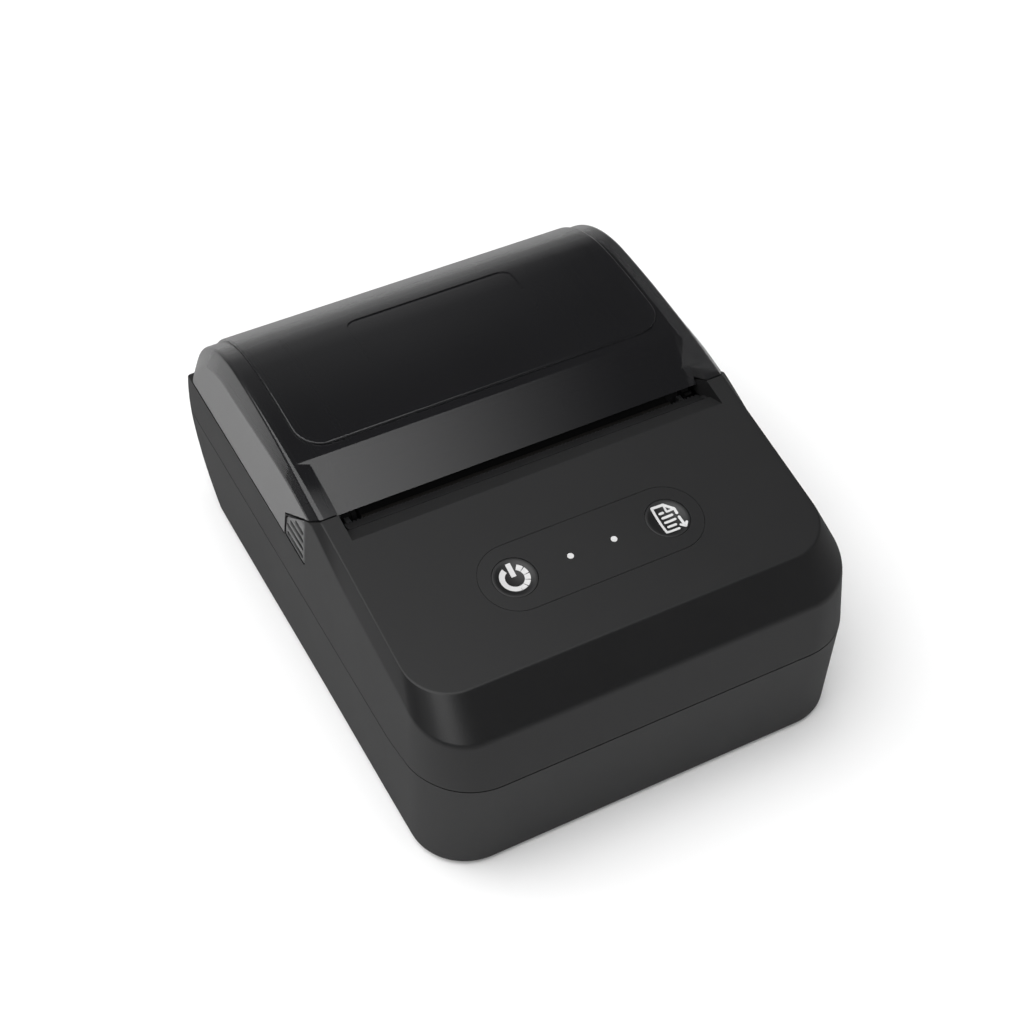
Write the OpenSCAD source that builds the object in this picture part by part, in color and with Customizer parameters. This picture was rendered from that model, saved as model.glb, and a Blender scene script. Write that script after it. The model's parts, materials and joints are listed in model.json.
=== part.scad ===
// Portable thermal receipt printer with a hinged smoky paper cover.
// Origin: centre of the footprint, on the surface that the rubber feet stand on.
// +X right, +Y to the back, +Z up. The control panel and the paper slot face the front.

/* [Casing] */
// Width of the casing along its seam
body_w = 109; // [106:0.5:112]
// Length of the casing from front to back
body_len = 145; // [142:0.5:148]
// Thickness of the moulded casing walls
wall = 2; // [1.6:0.1:2.2]
// Height of the top face at its front edge
top_front_z = 51; // [49:0.5:53]
// Slope of the top face, rising to the back, in degrees
top_tilt = 9.9; // [9:0.1:10.5]
// Plan radius of the two front corners at the seam
corner_r = 15.5; // [13:0.5:18]
// Plan radius of the front corners of the top face
top_corner_r = 11; // [9:0.5:13]
// Run of the wide front bevel, in plan
bevel_run = 11.8; // [10:0.2:13]
// Drop of the front bevel's lower edge below the plane of the top face
front_drop = 6.9; // [6.1:0.2:7.5]
// Drop of the side bevels' lower edges below the plane of the top face
bevel_drop = 4.2; // [3:0.2:5]
// Width of the narrow side bevels, in plan
side_bevel = 1.8; // [1.2:0.1:2.4]
// Inward lean of the side walls above the seam
side_lean = 0.8; // [0.4:0.1:1.2]
// Inward lean of the front wall above the seam
front_lean = 3.2; // [2.6:0.1:3.8]
// Inward lean of the front wall below the seam
base_lean = 2.8; // [1.5:0.1:4]
// Rounding of the base's bottom edge
base_round = 1.3; // [0.8:0.1:1.8]
// Height of the seam at the front
seam_front_z = 30.2; // [29:0.2:31.5]
// Height of the seam along the sides and the back
seam_side_z = 26.5; // [26.1:0.1:27.5]
// Visible groove between the two casing halves
seam_gap = 0.3; // [0.2:0.05:0.4]

/* [Paper bay] */
// Outer radius of the barrel shape round the paper roll
barrel_r = 35.3; // [34.8:0.1:35.8]
// Height of the barrel's axis
barrel_z = 29.3; // [28.8:0.1:29.8]
// Radius of the largest paper roll that the tray takes
roll_r = 25; // [23:0.5:25.2]
// Clearance round the paper roll
roll_gap = 0.8; // [0.4:0.1:1]
// Width of the paper bay between the tray's end walls
bay_w = 82.4; // [80:0.2:83]
// Thickness of the roll tray
tray_t = 1.2; // [1:0.1:1.4]

/* [Cover] */
// Thickness of the smoky cover
cover_t = 2; // [1.6:0.1:2.4]
// Height of the parting line under the cover's side walls
parting_z = 39.4; // [39:0.1:40]
// Gap between the cover and the casing
cover_gap = 0.3; // [0.25:0.05:0.4]
// Width of the flat top between the cover's bevelled flanks
cover_flat_w = 103.2; // [102:0.2:104]
// Radius of the bevel's lower edge where it goes round the barrel
flank_r = 30; // [29:0.2:31]
// Width of the raised window panel
window_w = 94.6; // [92:0.2:96]
// Height of the window panel above the cover
window_raise = 0.6; // [0.4:0.1:0.8]
// Front edge of the window panel
window_front_y = 8.8; // [8:0.2:10]
// Plan radius of the window's front corners
window_r = 7; // [5:0.5:9]
// Width of the shallow label recess
label_w = 44; // [40:1:50]
// Length of the shallow label recess
label_len = 18.5; // [16:0.5:20]
// Depth of the label recess
label_depth = 0.3; // [0.2:0.05:0.4]
// Outer radius of the hinge barrel
hinge_r = 2.6; // [2.4:0.1:2.8]
// Radius of the steel hinge pins
hinge_pin_r = 1; // [0.8:0.1:1.2]
// Width of each cover knuckle
knuckle_w = 12; // [10:0.5:14]

/* [Paper exit] */
// Width of the recess that the paper comes out of
recess_w = 95; // [93:0.5:96]
// Front lip of the recess
lip_y = -17.1; // [-18:0.1:-16]
// Top edge of the sloping exit panel
panel_top_y = 5.5; // [5:0.1:6.5]
// Lower edge of the sloping exit panel
panel_low_y = -6.3; // [-6.6:0.1:-6]
// Height of the panel's lower edge
panel_low_z = 56; // [55.5:0.1:56.5]
// Front edge of the paper slot, where the tear bar's teeth point
tear_y = -8.3; // [-8.8:0.1:-8]
// Height of the tear bar at its teeth
tear_z = 55.2; // [54.8:0.1:55.6]
// Spacing of the tear bar's teeth
tooth_pitch = 1; // [0.8:0.05:1.5]
// Height of the tear bar's teeth
tooth_h = 0.8; // [0.5:0.1:1]

/* [Controls] */
// Length of the pill-shaped control panel
panel_len = 55.2; // [52:0.2:58]
// Width of the pill-shaped control panel
panel_w = 17.5; // [16:0.1:19]
// Thickness of the inlaid control overlay
overlay_t = 0.4; // [0.3:0.1:0.6]
// Distance between the two buttons
button_pitch = 38.6; // [36:0.2:40]
// Radius of each round button
button_r = 5.1; // [4.5:0.1:5.5]
// Running gap round each button
button_gap = 0.2; // [0.15:0.05:0.3]
// Travel of each button
button_travel = 0.8; // [0.5:0.1:1]
// Depth of the dish in a button's face
dish_depth = 0.7; // [0.4:0.1:0.9]
// Distance between the two status lights
light_pitch = 11; // [9:0.2:13]
// Radius of each light guide
light_r = 0.75; // [0.6:0.05:1]

/* [Latches] */
// Travel of each latch button when it is pressed in
latch_travel = 1.4; // [1:0.1:1.5]
// Spacing of the grip ribs on a latch button
latch_rib_pitch = 2.9; // [2.7:0.1:3.1]
// Depth of the grooves between the grip ribs
latch_groove = 0.7; // [0.4:0.1:0.9]

/* [Platen and print head] */
// Height of the platen's axis
platen_z = 48.6; // [48.4:0.1:48.9]
// Radius of the platen's rubber
platen_r = 5.2; // [5:0.1:5.4]
// Length of the platen's rubber
platen_len = 80.6; // [80:0.2:81]
// Radius of the platen's shaft
shaft_r = 2; // [1.8:0.1:2.2]
// Radius of the platen's bushes
bush_r = 4; // [3.8:0.1:4.2]
// Gap between the platen and the print head, where the paper runs
nip_gap = 0.3; // [0.25:0.05:0.4]
// Thickness of the ceramic print head
head_t = 1.1; // [1:0.1:1.4]
// Thickness of the head's heat sink
sink_t = 3; // [2.6:0.1:3.2]
// Radial clearance of shafts that turn
run_gap = 0.05; // [0.03:0.01:0.08]

/* [Gears] */
// Gear module
gear_m = 0.7; // [0.68:0.01:0.72]
// Width of the gear faces
gear_face = 1.8; // [1.4:0.1:2]
// Backlash, taken off each tooth's thickness
backlash = 0.14; // [0.1:0.02:0.2]

/* [Battery and boards] */
// Length of the battery pack, across the printer
battery_w = 72; // [68:1:73]
// Width of the battery pack, front to back
battery_len = 36; // [34:1:38]
// Thickness of the battery pack
battery_h = 19; // [17:0.5:20]
// Thickness of the circuit boards
board_t = 1.6; // [1.2:0.1:1.8]
// Height that the rubber feet lift the casing
foot_h = 0.8; // [0.6:0.1:1.2]
// Radius of the rubber feet
foot_r = 5; // [4:0.5:6]
// Radius of the case screws' shanks
screw_r = 1.2; // [1:0.1:1.3]

/* [Hidden] */

// Colours
black = [0.06, 0.06, 0.065];
smoke = [0.10, 0.10, 0.11, 0.75];
steel = [0.70, 0.71, 0.73];
alloy = [0.78, 0.79, 0.80];
rubber = [0.12, 0.12, 0.12];
board_green = [0.05, 0.30, 0.16];
nylon = [0.10, 0.10, 0.105];
copper = [0.80, 0.48, 0.24];
pearl = [0.16, 0.155, 0.15];

big = 200;
eps = 0.01;
fine = 64;
front_y = -body_len / 2;
rear_y = body_len / 2;
top_slope = tan(top_tilt);
top_front_y = front_y + bevel_run;
barrel_y = rear_y - barrel_r;
barrel_top = barrel_z + barrel_r;
seam_half = body_w / 2;
wall_half = seam_half - side_lean;
top_half = wall_half - side_bevel;
base_half = seam_half - 0.4;
flat_half = cover_flat_w / 2;
recess_half = recess_w / 2;
floor_z = foot_h + wall;

// Height of the sloping top face's plane, and where it starts to curve to the cover's crest
function plane_z(y) = top_front_z + top_slope * (y - top_front_y);
blend_y = 2 * (barrel_top - plane_z(0)) / top_slope - barrel_y;
blend_len = barrel_y - blend_y;
function blend_z(y) = plane_z(blend_y) + top_slope * (y - blend_y)
    - top_slope * pow(y - blend_y, 2) / (2 * blend_len);
function top_z(y) = y < blend_y ? plane_z(y) : blend_z(min(y, barrel_y));

// Height of the seam between the casing halves
seam_rise_ys = [front_y + 28.5, front_y + 6.5];
function ease(t) = t * t * (3 - 2 * t);
function unit(t) = min(1, max(0, t));
function seam_z(y) = seam_side_z + (seam_front_z - seam_side_z)
    * ease(unit((y - seam_rise_ys[0]) / (seam_rise_ys[1] - seam_rise_ys[0])));

// Casing form: rings round the plan outline, one above the other
corner_steps = 6;
side_ys = [rear_y + 8, 70, 56, 40, 24, 8, -8, -22, -34, -45];
top_extra = 0.5;
bevel_start_y = -28;
bevel_end_y = -7;
arm_bevel_drop = 1.6;
corner_back_y = front_y + 18.5;
function drop_at(y) = y < corner_back_y
    ? bevel_drop + (front_drop - bevel_drop) * unit((y - corner_back_y) / (front_y + front_lean - corner_back_y))
    : bevel_drop - (bevel_drop - arm_bevel_drop) * unit((y - bevel_start_y) / (bevel_end_y - bevel_start_y));
function level_half(k) = [base_half - base_round, base_half, seam_half, wall_half, top_half][k];
function level_front(k) = [
    front_y + base_lean + base_round, front_y + base_lean, front_y, front_y + front_lean, top_front_y
][k];
function level_r(k) = [corner_r - base_round, corner_r, corner_r, corner_r - front_lean, top_corner_r][k];
function level_z(k, y, d) = [
    foot_h - d, foot_h + base_round + 0.2 - d, seam_z(y), plane_z(y) - drop_at(y) + d, plane_z(y) + d
][k];
function half_ring(w, yf, r) = concat(
    [for (y = side_ys) [w, y]],
    [for (i = [0:corner_steps])
        let (a = 90 * i / corner_steps) [w - r + r * cos(a), yf + r - r * sin(a)]]
);
function ring(k, d) =
    let (half = half_ring(level_half(k) + d, level_front(k) - d, level_r(k) + d),
         n = len(half),
         plan = concat(half, [for (i = [n - 1:-1:0]) [-half[i][0], half[i][1]]]))
    [for (p = plan) [p[0], p[1], level_z(k, p[1], d)]];
// The last ring runs on past the top face, so that the side view alone cuts the top
function last_ring(d) =
    let (low = ring(3, d), high = ring(4, d))
    [for (i = [0:len(low) - 1])
        let (t = 1 + top_extra / drop_at(low[i][1]), p = low[i] + t * (high[i] - low[i]))
        [p[0], p[1], plane_z(p[1]) + d + top_extra]];
function casing_rings(d) = concat([for (k = [0:3]) ring(k, d)], [last_ring(d)]);

module loft(rings) {
    n = len(rings[0]);
    m = len(rings);
    polyhedron(
        points = [for (r = rings) each r],
        faces = concat(
            [[for (i = [n - 1:-1:0]) i]],
            [[for (i = [0:n - 1]) (m - 1) * n + i]],
            [for (j = [0:m - 2]) for (i = [0:n - 1])
                [j * n + i, j * n + (i + 1) % n, (j + 1) * n + (i + 1) % n]],
            [for (j = [0:m - 2]) for (i = [0:n - 1])
                [j * n + i, (j + 1) * n + (i + 1) % n, (j + 1) * n + i]]
        )
    );
}

// A prism that runs across the printer: points are [y, z]
module across(points, width) {
    rotate([90, 0, 90])
        linear_extrude(width, center = true)
            polygon(points);
}

module bar_x(y, z, r, x0, x1) {
    translate([x0, y, z])
        rotate([0, 90, 0])
            cylinder(h = x1 - x0, r = r, $fn = fine);
}

module post(x, y, r, z0, z1) {
    translate([x, y, z0])
        cylinder(h = z1 - z0, r = r, $fn = 32);
}

module block(low, high) {
    translate(low)
        cube(high - low);
}

module both_sides() {
    children();
    mirror([1, 0, 0])
        children();
}

// Side view of the whole printer, moved outward by d
blend_steps = 5;
arc_steps = 20;
arc_end = -55;
function top_curve(d) = concat(
    [for (i = [0:blend_steps])
        let (y = blend_y + blend_len * i / blend_steps) [y, blend_z(y) + d]],
    [for (i = [1:arc_steps])
        let (a = 90 + (arc_end - 90) * i / arc_steps)
        [barrel_y + (barrel_r + d) * cos(a), barrel_z + (barrel_r + d) * sin(a)]]
);
function side_profile(d) = concat(
    [[front_y - 20, -3], [front_y - 20, plane_z(front_y - 20) + d]],
    top_curve(d),
    [[barrel_y + (barrel_r + d) * cos(arc_end) - 2, -3]]
);
// A skin that follows the top and the barrel, from d0 to d1
function backward(list) = [for (i = [len(list) - 1:-1:0]) list[i]];
function top_band(d0, d1) = concat(top_curve(d1), backward(top_curve(d0)));
flank_y = barrel_y + 2.8;
flank_z = barrel_z - 0.8;
flank_drop = 2.3;
function flank_profile(d) = concat(
    [[front_y - 20, -3], [front_y - 20, plane_z(front_y - 20) - flank_drop + d],
     [blend_y, plane_z(blend_y) - flank_drop + d]],
    [for (i = [0:12])
        let (a = 90 - 12 * i) [flank_y + (flank_r + d) * cos(a), flank_z + (flank_r + d) * sin(a)]]
);
casing_edge = 1;
module casing_form(d) {
    intersection() {
        hull()
            loft(casing_rings(d));
        hull() {
            across(side_profile(d), 2 * (seam_half - casing_edge + d));
            across(side_profile(d - casing_edge), 2 * (seam_half + 0.3 + d));
        }
    }
}
module cover_form(d) {
    intersection() {
        hull()
            loft(casing_rings(d));
        hull() {
            across(side_profile(d), 2 * (flat_half + d));
            across(flank_profile(d), 2 * (seam_half - 0.2 + d));
        }
    }
}
module under_seam(gap) {
    across(concat(
        [[rear_y + 12, seam_z(rear_y) - gap], [rear_y + 12, -10], [front_y - 10, -10],
         [front_y - 10, seam_front_z - gap]],
        [for (i = [10:-1:0])
            let (y = seam_rise_ys[0] + (seam_rise_ys[1] - seam_rise_ys[0]) * i / 10) [y, seam_z(y) - gap]]
    ), big);
}

// Parting line between cover and casing, seen from the side
arm_tip_y = -9.9;
latch_top_y = -5.3;
latch_top_z = 56.8;
latch_back_y = 7.3;
latch_back_z = 47.6;
cheek_front_y = 8.9;
latch_front_y = -2.8;
function cover_side(g) = [
    [arm_tip_y + g, 100], [arm_tip_y + g, plane_z(arm_tip_y) + g - 0.2], [latch_top_y + g, latch_top_z + g],
    [latch_back_y + g, latch_back_z + g], [cheek_front_y + g, parting_z + g], [rear_y + 10, parting_z + g],
    [rear_y + 10, 100]
];
panel_top_z = top_z(panel_top_y);
function slope_panel(t) = [
    [panel_low_y, panel_low_z], [panel_top_y, panel_top_z], [panel_top_y + 2, panel_top_z],
    [panel_top_y + 2, panel_top_z - t], [panel_low_y, panel_low_z - t]
];

// Places of the moving parts
hinge_y = rear_y - 2.7;
hinge_z = parting_z - 0.8;
knuckle_x = 28;
platen_y = 0;
nip_y = platen_y - platen_r - nip_gap;
head_pivot_y = nip_y - head_t - sink_t / 2;
head_pivot_z = 40.5;
plate_in = 43;
plate_out = 44.2;
gear_x = plate_out + 0.6;
wheel_x = gear_x + gear_face + 0.5;
platen_teeth = 18;
idler_small_teeth = 14;
idler_large_teeth = 30;
pinion_teeth = 12;
idler_dist = gear_m * (platen_teeth + idler_small_teeth) / 2;
pinion_dist = gear_m * (idler_large_teeth + pinion_teeth) / 2;
idler_dir = -98;
motor_dir = -138;
idler_y = platen_y + idler_dist * cos(idler_dir);
idler_z = platen_z + idler_dist * sin(idler_dir);
motor_y = idler_y + pinion_dist * cos(motor_dir);
motor_z = idler_z + pinion_dist * sin(motor_dir);
motor_r = 9;
motor_len = 19;

// Control panel frame: x across, y up the slope, z out of the top face
panel_y = -40;
module on_panel() {
    translate([0, panel_y, plane_z(panel_y)])
        rotate([top_tilt, 0, 0])
            children();
}
module pill(len, w, h) {
    linear_extrude(h) {
        square([len - w, w], center = true);
        for (s = [-1, 1])
            translate([s * (len - w) / 2, 0])
                circle(d = w, $fn = fine);
    }
}
key_board_depth = 9;

// Fixing points, given for the right side and mirrored
case_screw_front = [42, front_y + 14.5];
case_screw_back = [47.6, rear_y - 24.5];
bay_half_x = battery_w / 2 + 1;
bay_front_y = front_y + 10.5;
bay_back_y = bay_front_y + battery_len + 4;
bay_wall = 1.2;
board_z = 25.5;
board_post_x = bay_half_x + 3.2;
board_half_x = board_post_x + 2.2;
board_front_y = front_y + 19.5;
board_back_y = board_front_y + 28.5;
board_post_ys = [board_front_y + 3, board_front_y + 19];
frame_post_x = 40.8;
frame_post_ys = [-24.6, 4.6];
frame_foot_z = 22;
door_ear_x = 30;
door_ear_y = bay_front_y - 2.4;
door_t = 1.6;
foot_places = [[bay_half_x + foot_r + 0.6, front_y + 22.5], [43, rear_y - 30.5]];
socket_y = board_front_y + 14;
socket_z = board_z - 1.8;
screw_head_r = 2.4;
tray_y = barrel_y - 0.7;
tray_z = foot_h + wall + tray_t + roll_gap + roll_r + 0.4;
tray_in = roll_r + roll_gap;
tray_out = tray_in + tray_t;
bay_half = bay_w / 2;
sensor_y = tray_y - tray_out - 1.2;

module lower_shell() {
    color(black)
    difference() {
        union() {
            difference() {
                intersection() {
                    casing_form(0);
                    under_seam(seam_gap / 2);
                }
                casing_form(-wall);
            }
            both_sides() {
                post(case_screw_front[0], case_screw_front[1], 3.4, floor_z - eps, seam_front_z - 0.4);
                post(case_screw_back[0], case_screw_back[1], 3.2, floor_z - eps, seam_side_z - 0.4);
                for (y = board_post_ys)
                    post(board_post_x, y, 2.1, floor_z - eps, board_z);
                for (y = frame_post_ys)
                    post(frame_post_x, y, 2.2, floor_z - eps, frame_foot_z);
                post(door_ear_x, door_ear_y, 2.6, floor_z - eps, 9);
                block([14, tray_y - 9, floor_z - eps], [15.2, tray_y + 9, tray_z - tray_out]);
            }
            difference() {
                block([-bay_half_x - bay_wall, bay_front_y - bay_wall, floor_z - eps],
                      [bay_half_x + bay_wall, bay_back_y + bay_wall, board_z - 2]);
                block([-bay_half_x, bay_front_y, 0], [bay_half_x, bay_back_y, board_z]);
            }
        }
        // battery door opening, with a step that the door's edges lie in
        block([-bay_half_x, bay_front_y, -1], [bay_half_x, bay_back_y, floor_z + 1]);
        both_sides() {
            block([door_ear_x - 4.2, door_ear_y - 2.6, -1], [door_ear_x + 4.2, bay_front_y + 1, foot_h + door_t]);
            post(door_ear_x, door_ear_y, screw_r - 0.2, 0, 8);
            for (p = [case_screw_front, case_screw_back]) {
                post(p[0], p[1], screw_r + 0.15, 0, 32);
                post(p[0], p[1], screw_head_r + 0.3, -1, 8);
            }
            for (p = foot_places)
                post(p[0], p[1], foot_r + 0.1, -1, foot_h + 0.6);
            for (y = board_post_ys)
                post(board_post_x, y, 0.8, board_z - 8, board_z + 1);
            for (y = frame_post_ys)
                post(frame_post_x, y, 0.8, frame_foot_z - 8, frame_foot_z + 1);
        }
        // charging socket hole in the right wall
        translate([seam_half, socket_y, socket_z])
            rotate([90, 0, 90])
                translate([0, 0, -8])
                    pill(9.6, 4, 20);
    }
}

slot_slope = (plane_z(lip_y) - tear_z) / (tear_y - lip_y);
module upper_shell() {
    color(black)
    difference() {
        union() {
            difference() {
                casing_form(0);
                casing_form(-wall);
                under_seam(-seam_gap / 2);
                across(cover_side(0), big);
                block([-recess_half, lip_y, 50], [recess_half, 20, 90]);
            }
            // sloping floor of the paper exit, from the lip down to the tear bar
            across([
                [lip_y - 1.5, plane_z(lip_y - 1.5) - 0.2], [lip_y, plane_z(lip_y) - 0.2],
                [tear_y - 3.6, tear_z + 3.6 * slot_slope - 0.2], [tear_y - 3.6, tear_z + 3.6 * slot_slope - 0.75],
                [tear_y + 0.3, tear_z - 0.9], [tear_y + 0.3, tear_z - 2.4], [lip_y - 1.5, plane_z(lip_y) - 2.6]
            ], 2 * recess_half + 2);
            // recess end walls
            both_sides()
                translate([recess_half + 0.6, 0, 0])
                    across([
                        [lip_y - 1, 53], [lip_y - 1, plane_z(lip_y - 1) - 0.3],
                        [arm_tip_y, plane_z(arm_tip_y) - 0.3], [arm_tip_y, 53]
                    ], 1.2);
            // hinge barrel along the back
            bar_x(hinge_y, hinge_z, hinge_r, -seam_half + 4, seam_half - 4);
            both_sides() {
                post(case_screw_front[0], case_screw_front[1], 3.2, seam_front_z, 49);
                post(case_screw_back[0], case_screw_back[1], 3, seam_side_z + 0.4, parting_z - 1);
                block([case_screw_back[0] + 2, case_screw_back[1] - 1, 31.5], [seam_half - 1.2, case_screw_back[1] + 1, parting_z - 1]);
            }
            on_panel()
                for (x = [-25, 25], y = [-6.4, 6.4])
                    translate([x, y, -key_board_depth])
                        cylinder(h = key_board_depth - wall + 0.3, r = 2, $fn = 32);
        }
        // pocket for the control overlay, button holes and light holes
        on_panel() {
            translate([0, 0, -overlay_t])
                pill(panel_len + 0.2, panel_w + 0.2, 5);
            for (s = [-1, 1]) {
                translate([s * button_pitch / 2, 0, -5])
                    cylinder(h = 10, r = button_r + button_gap, $fn = fine);
                translate([s * light_pitch / 2, 0, -5])
                    cylinder(h = 10, r = light_r + run_gap, $fn = 32);
                for (y = [-6.4, 6.4])
                    translate([s * 25, y, -key_board_depth - 1])
                        cylinder(h = 5, r = 0.8, $fn = 24);
            }
        }
        both_sides() {
            post(case_screw_front[0], case_screw_front[1], screw_r - 0.2, 20, 44);
            post(case_screw_back[0], case_screw_back[1], screw_r - 0.2, 20, 37);
            bar_x(hinge_y, hinge_z, hinge_r + cover_gap, knuckle_x - cover_gap, knuckle_x + knuckle_w + cover_gap);
            bar_x(hinge_y, hinge_z, hinge_pin_r + 0.02, knuckle_x - 6, knuckle_x + knuckle_w + 6);
            translate([60, 0, 0])
                across(latch_side(0.25), 30);
        }
        under_seam(-seam_gap / 2);
    }
}

// Outline of a latch button, seen from the side, grown by g
function latch_side(g) = [
    [latch_top_y + 0.5 - g, latch_top_z - 0.6 + 2 * g], [latch_back_y - 0.4, latch_back_z - 0.5 + g],
    [cheek_front_y - 0.4 + g, parting_z + 0.8 - g], [latch_front_y + 1.2, parting_z + 0.6 - g],
    [latch_front_y - g, parting_z + 1.8 - g]
];
latch_in = 51;
latch_groove_front = -1.9;
latch_groove_backs = [7.2, 7, 4.8, 1.2];
// The latch button's outer face leans with the casing's wall
function wall_x(z) = seam_half - side_lean * (z - seam_side_z) / (54 - seam_side_z);
module latch_button() {
    difference() {
        union() {
            intersection() {
                translate([60, 0, 0])
                    across(latch_side(0), 2 * (60 - latch_in));
                rotate([90, 0, 0])
                    linear_extrude(60, center = true)
                        polygon([
                            [latch_in, 30], [wall_x(30) - 0.1, 30], [wall_x(60) - 0.1, 60], [latch_in, 60]
                        ]);
            }
            // retaining flange, spring arm and hook finger
            intersection() {
                translate([latch_in - 0.2, 0, 0])
                    across(latch_side(0.6), 0.8);
                across([[-20, 0], [cheek_front_y + 0.6, 0], [cheek_front_y + 0.6, 54.5], [-20, 54.5]], big);
            }
            block([latch_in - 0.6, 8.4, 41], [latch_in + 0.2, 13.6, 44]);
            block([48.2, 10.3, 41], [latch_in - 0.3, 13.6, 44]);
            block([48.2, 10.3, 41], [49.6, 13.6, 51]);
            block([49.4, 10.3, 49.6], [50.2, 13.6, 51]);
        }
        for (i = [0:3])
            translate([0, 0, parting_z + 2.2 + latch_rib_pitch * i])
                block([wall_half - latch_groove - 0.1, latch_groove_front - i * 0.3, -0.7], [60, latch_groove_backs[i], 0.7]);
    }
}
module latch_right() {
    color([0.16, 0.16, 0.17])
        latch_button();
}
module latch_left() {
    color([0.16, 0.16, 0.17])
        mirror([1, 0, 0])
            latch_button();
}

module window_plan() {
    translate([0, 0, 30])
        linear_extrude(60) {
            translate([-window_w / 2, window_front_y + window_r])
                square([window_w, rear_y]);
            translate([-window_w / 2 + window_r, window_front_y])
                square([window_w - 2 * window_r, rear_y]);
            for (s = [-1, 1])
                translate([s * (window_w / 2 - window_r), window_front_y + window_r])
                    circle(r = window_r, $fn = 48);
        }
}

cover_rib_xs = [36.5, 45];
label_y = 34.3;
module paper_cover() {
    color(smoke)
    difference() {
        union() {
            difference() {
                intersection() {
                    cover_form(0);
                    union() {
                        across(cover_side(cover_gap), big);
                        across([
                            [panel_low_y, panel_low_z - cover_t - 0.2], [panel_low_y, 90], [panel_top_y, 90],
                            [panel_top_y, panel_top_z - cover_t - 0.2]
                        ], recess_w - 2 * cover_gap);
                    }
                }
                // paper bay and arms are open below
                intersection() {
                    cover_form(-cover_t);
                    block([-big, panel_top_y + 2, -1], [big, big, big]);
                }
                across([
                    [-30, 100], [panel_top_y, 100], [panel_top_y, panel_top_z],
                    [panel_low_y, panel_low_z], [panel_low_y, 30], [-30, 30]
                ], recess_w);
                across([
                    [-30, 30], [-30, panel_low_z - cover_t], [panel_low_y, panel_low_z - cover_t],
                    [panel_top_y, panel_top_z - cover_t], [panel_top_y + 3, panel_top_z - cover_t], [panel_top_y + 3, 30]
                ], recess_w - 3);
            }
            // raised window panel
            intersection() {
                across(top_band(-cover_t / 2, window_raise), window_w);
                window_plan();
                across(cover_side(cover_gap), big);
            }
            // guide ribs under the top
            both_sides()
                for (x = cover_rib_xs)
                    translate([x, 0, 0])
                        intersection() {
                            across(top_band(-cover_t - 2, -cover_t + 0.2), 1.2);
                            block([-2, panel_top_y + 4, 50], [2, 50, 80]);
                        }
            both_sides() {
                // catch for the latch hook
                intersection() {
                    block([50.6, 10.3, 45.6], [seam_half, 13.6, 48.4]);
                    cover_form(-0.5);
                }
                bar_x(hinge_y, hinge_z, hinge_r, knuckle_x, knuckle_x + knuckle_w);
                intersection() {
                    block([knuckle_x, hinge_y - 1.4, hinge_z], [knuckle_x + knuckle_w, rear_y, hinge_z + 5]);
                    cover_form(0);
                }
            }
        }
        // label recess
        intersection() {
            translate([0, label_y, 50])
                linear_extrude(30) {
                    square([label_w, label_len - 6], center = true);
                    square([label_w - 6, label_len], center = true);
                    for (x = [-1, 1], y = [-1, 1])
                        translate([x * (label_w / 2 - 3), y * (label_len / 2 - 3)])
                            circle(r = 3, $fn = 32);
                }
            across(top_band(window_raise - label_depth, window_raise + 3), label_w + 2);
        }
        // room for the platen's gear, and holes for the carrier's screws
        both_sides() {
            translate([recess_half - 1, 0, 0])
                across([
                    [platen_y - 7.4, platen_z - 8], [platen_y - 7.4, platen_z + 3.6], [platen_y - 3, platen_z + 6.9],
                    [platen_y + 2.6, platen_z + 7.5], [platen_y + 6.2, platen_z + 4.6], [platen_y + 7.3, platen_z + 2.6],
                    [platen_y + 7.3, platen_z - 8]
                ], 1.4);
            post(carrier_screw_x, carrier_screw_y, screw_r, 58, 61.8);
        }
        // clear of the hinge barrel, and bored for the pins
        bar_x(hinge_y, hinge_z, hinge_r + cover_gap, -knuckle_x + cover_gap, knuckle_x - cover_gap);
        both_sides() {
            bar_x(hinge_y, hinge_z, hinge_r + cover_gap, knuckle_x + knuckle_w + cover_gap, big / 2);
            bar_x(hinge_y, hinge_z, hinge_pin_r + run_gap, knuckle_x - 1, knuckle_x + knuckle_w + 1);
        }
    }
}

module hinge_pins() {
    color(steel)
        both_sides()
            bar_x(hinge_y, hinge_z, hinge_pin_r, knuckle_x - 5.8, knuckle_x + knuckle_w + 5.8);
}

carrier_in = platen_len / 2 + 0.5;
carrier_t = 1.2;
carrier_bar_y = 6.4;
carrier_screw_x = 30;
carrier_screw_y = carrier_bar_y + 4.8;
module platen_carrier() {
    color(black)
    difference() {
        union() {
            both_sides() {
                bar_x(platen_y, platen_z, 4.4, carrier_in, carrier_in + carrier_t);
                translate([carrier_in + carrier_t / 2, 0, 0])
                    across([
                        [platen_y - 3, platen_z], [platen_y - 1, 55], [carrier_bar_y, 58], [carrier_bar_y + 2.6, 59.6],
                        [carrier_bar_y + 2.6, 50], [platen_y + 3, platen_z - 3]
                    ], carrier_t);
                block([carrier_screw_x - 4, carrier_bar_y, 57], [carrier_screw_x + 4, carrier_screw_y + 3, panel_top_z - cover_t - 0.1]);
                block([carrier_screw_x - 4, carrier_bar_y + 2.4, 57], [carrier_screw_x + 4, carrier_screw_y + 3, 64]);
            }
            block([-carrier_in - carrier_t, carrier_bar_y, 54.6], [carrier_in + carrier_t, carrier_bar_y + 2.4, 59.4]);
        }
        both_sides() {
            bar_x(platen_y, platen_z, shaft_r + run_gap, carrier_in - 1, carrier_in + carrier_t + 1);
            post(carrier_screw_x, carrier_screw_y, screw_r, 50, 70);
        }
        translate([0, 0, 0])
            difference() {
                block([-60, panel_top_y - 3, 56], [60, 20, 90]);
                across(side_profile(-cover_t - 0.02), big);
            }
    }
}

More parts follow.
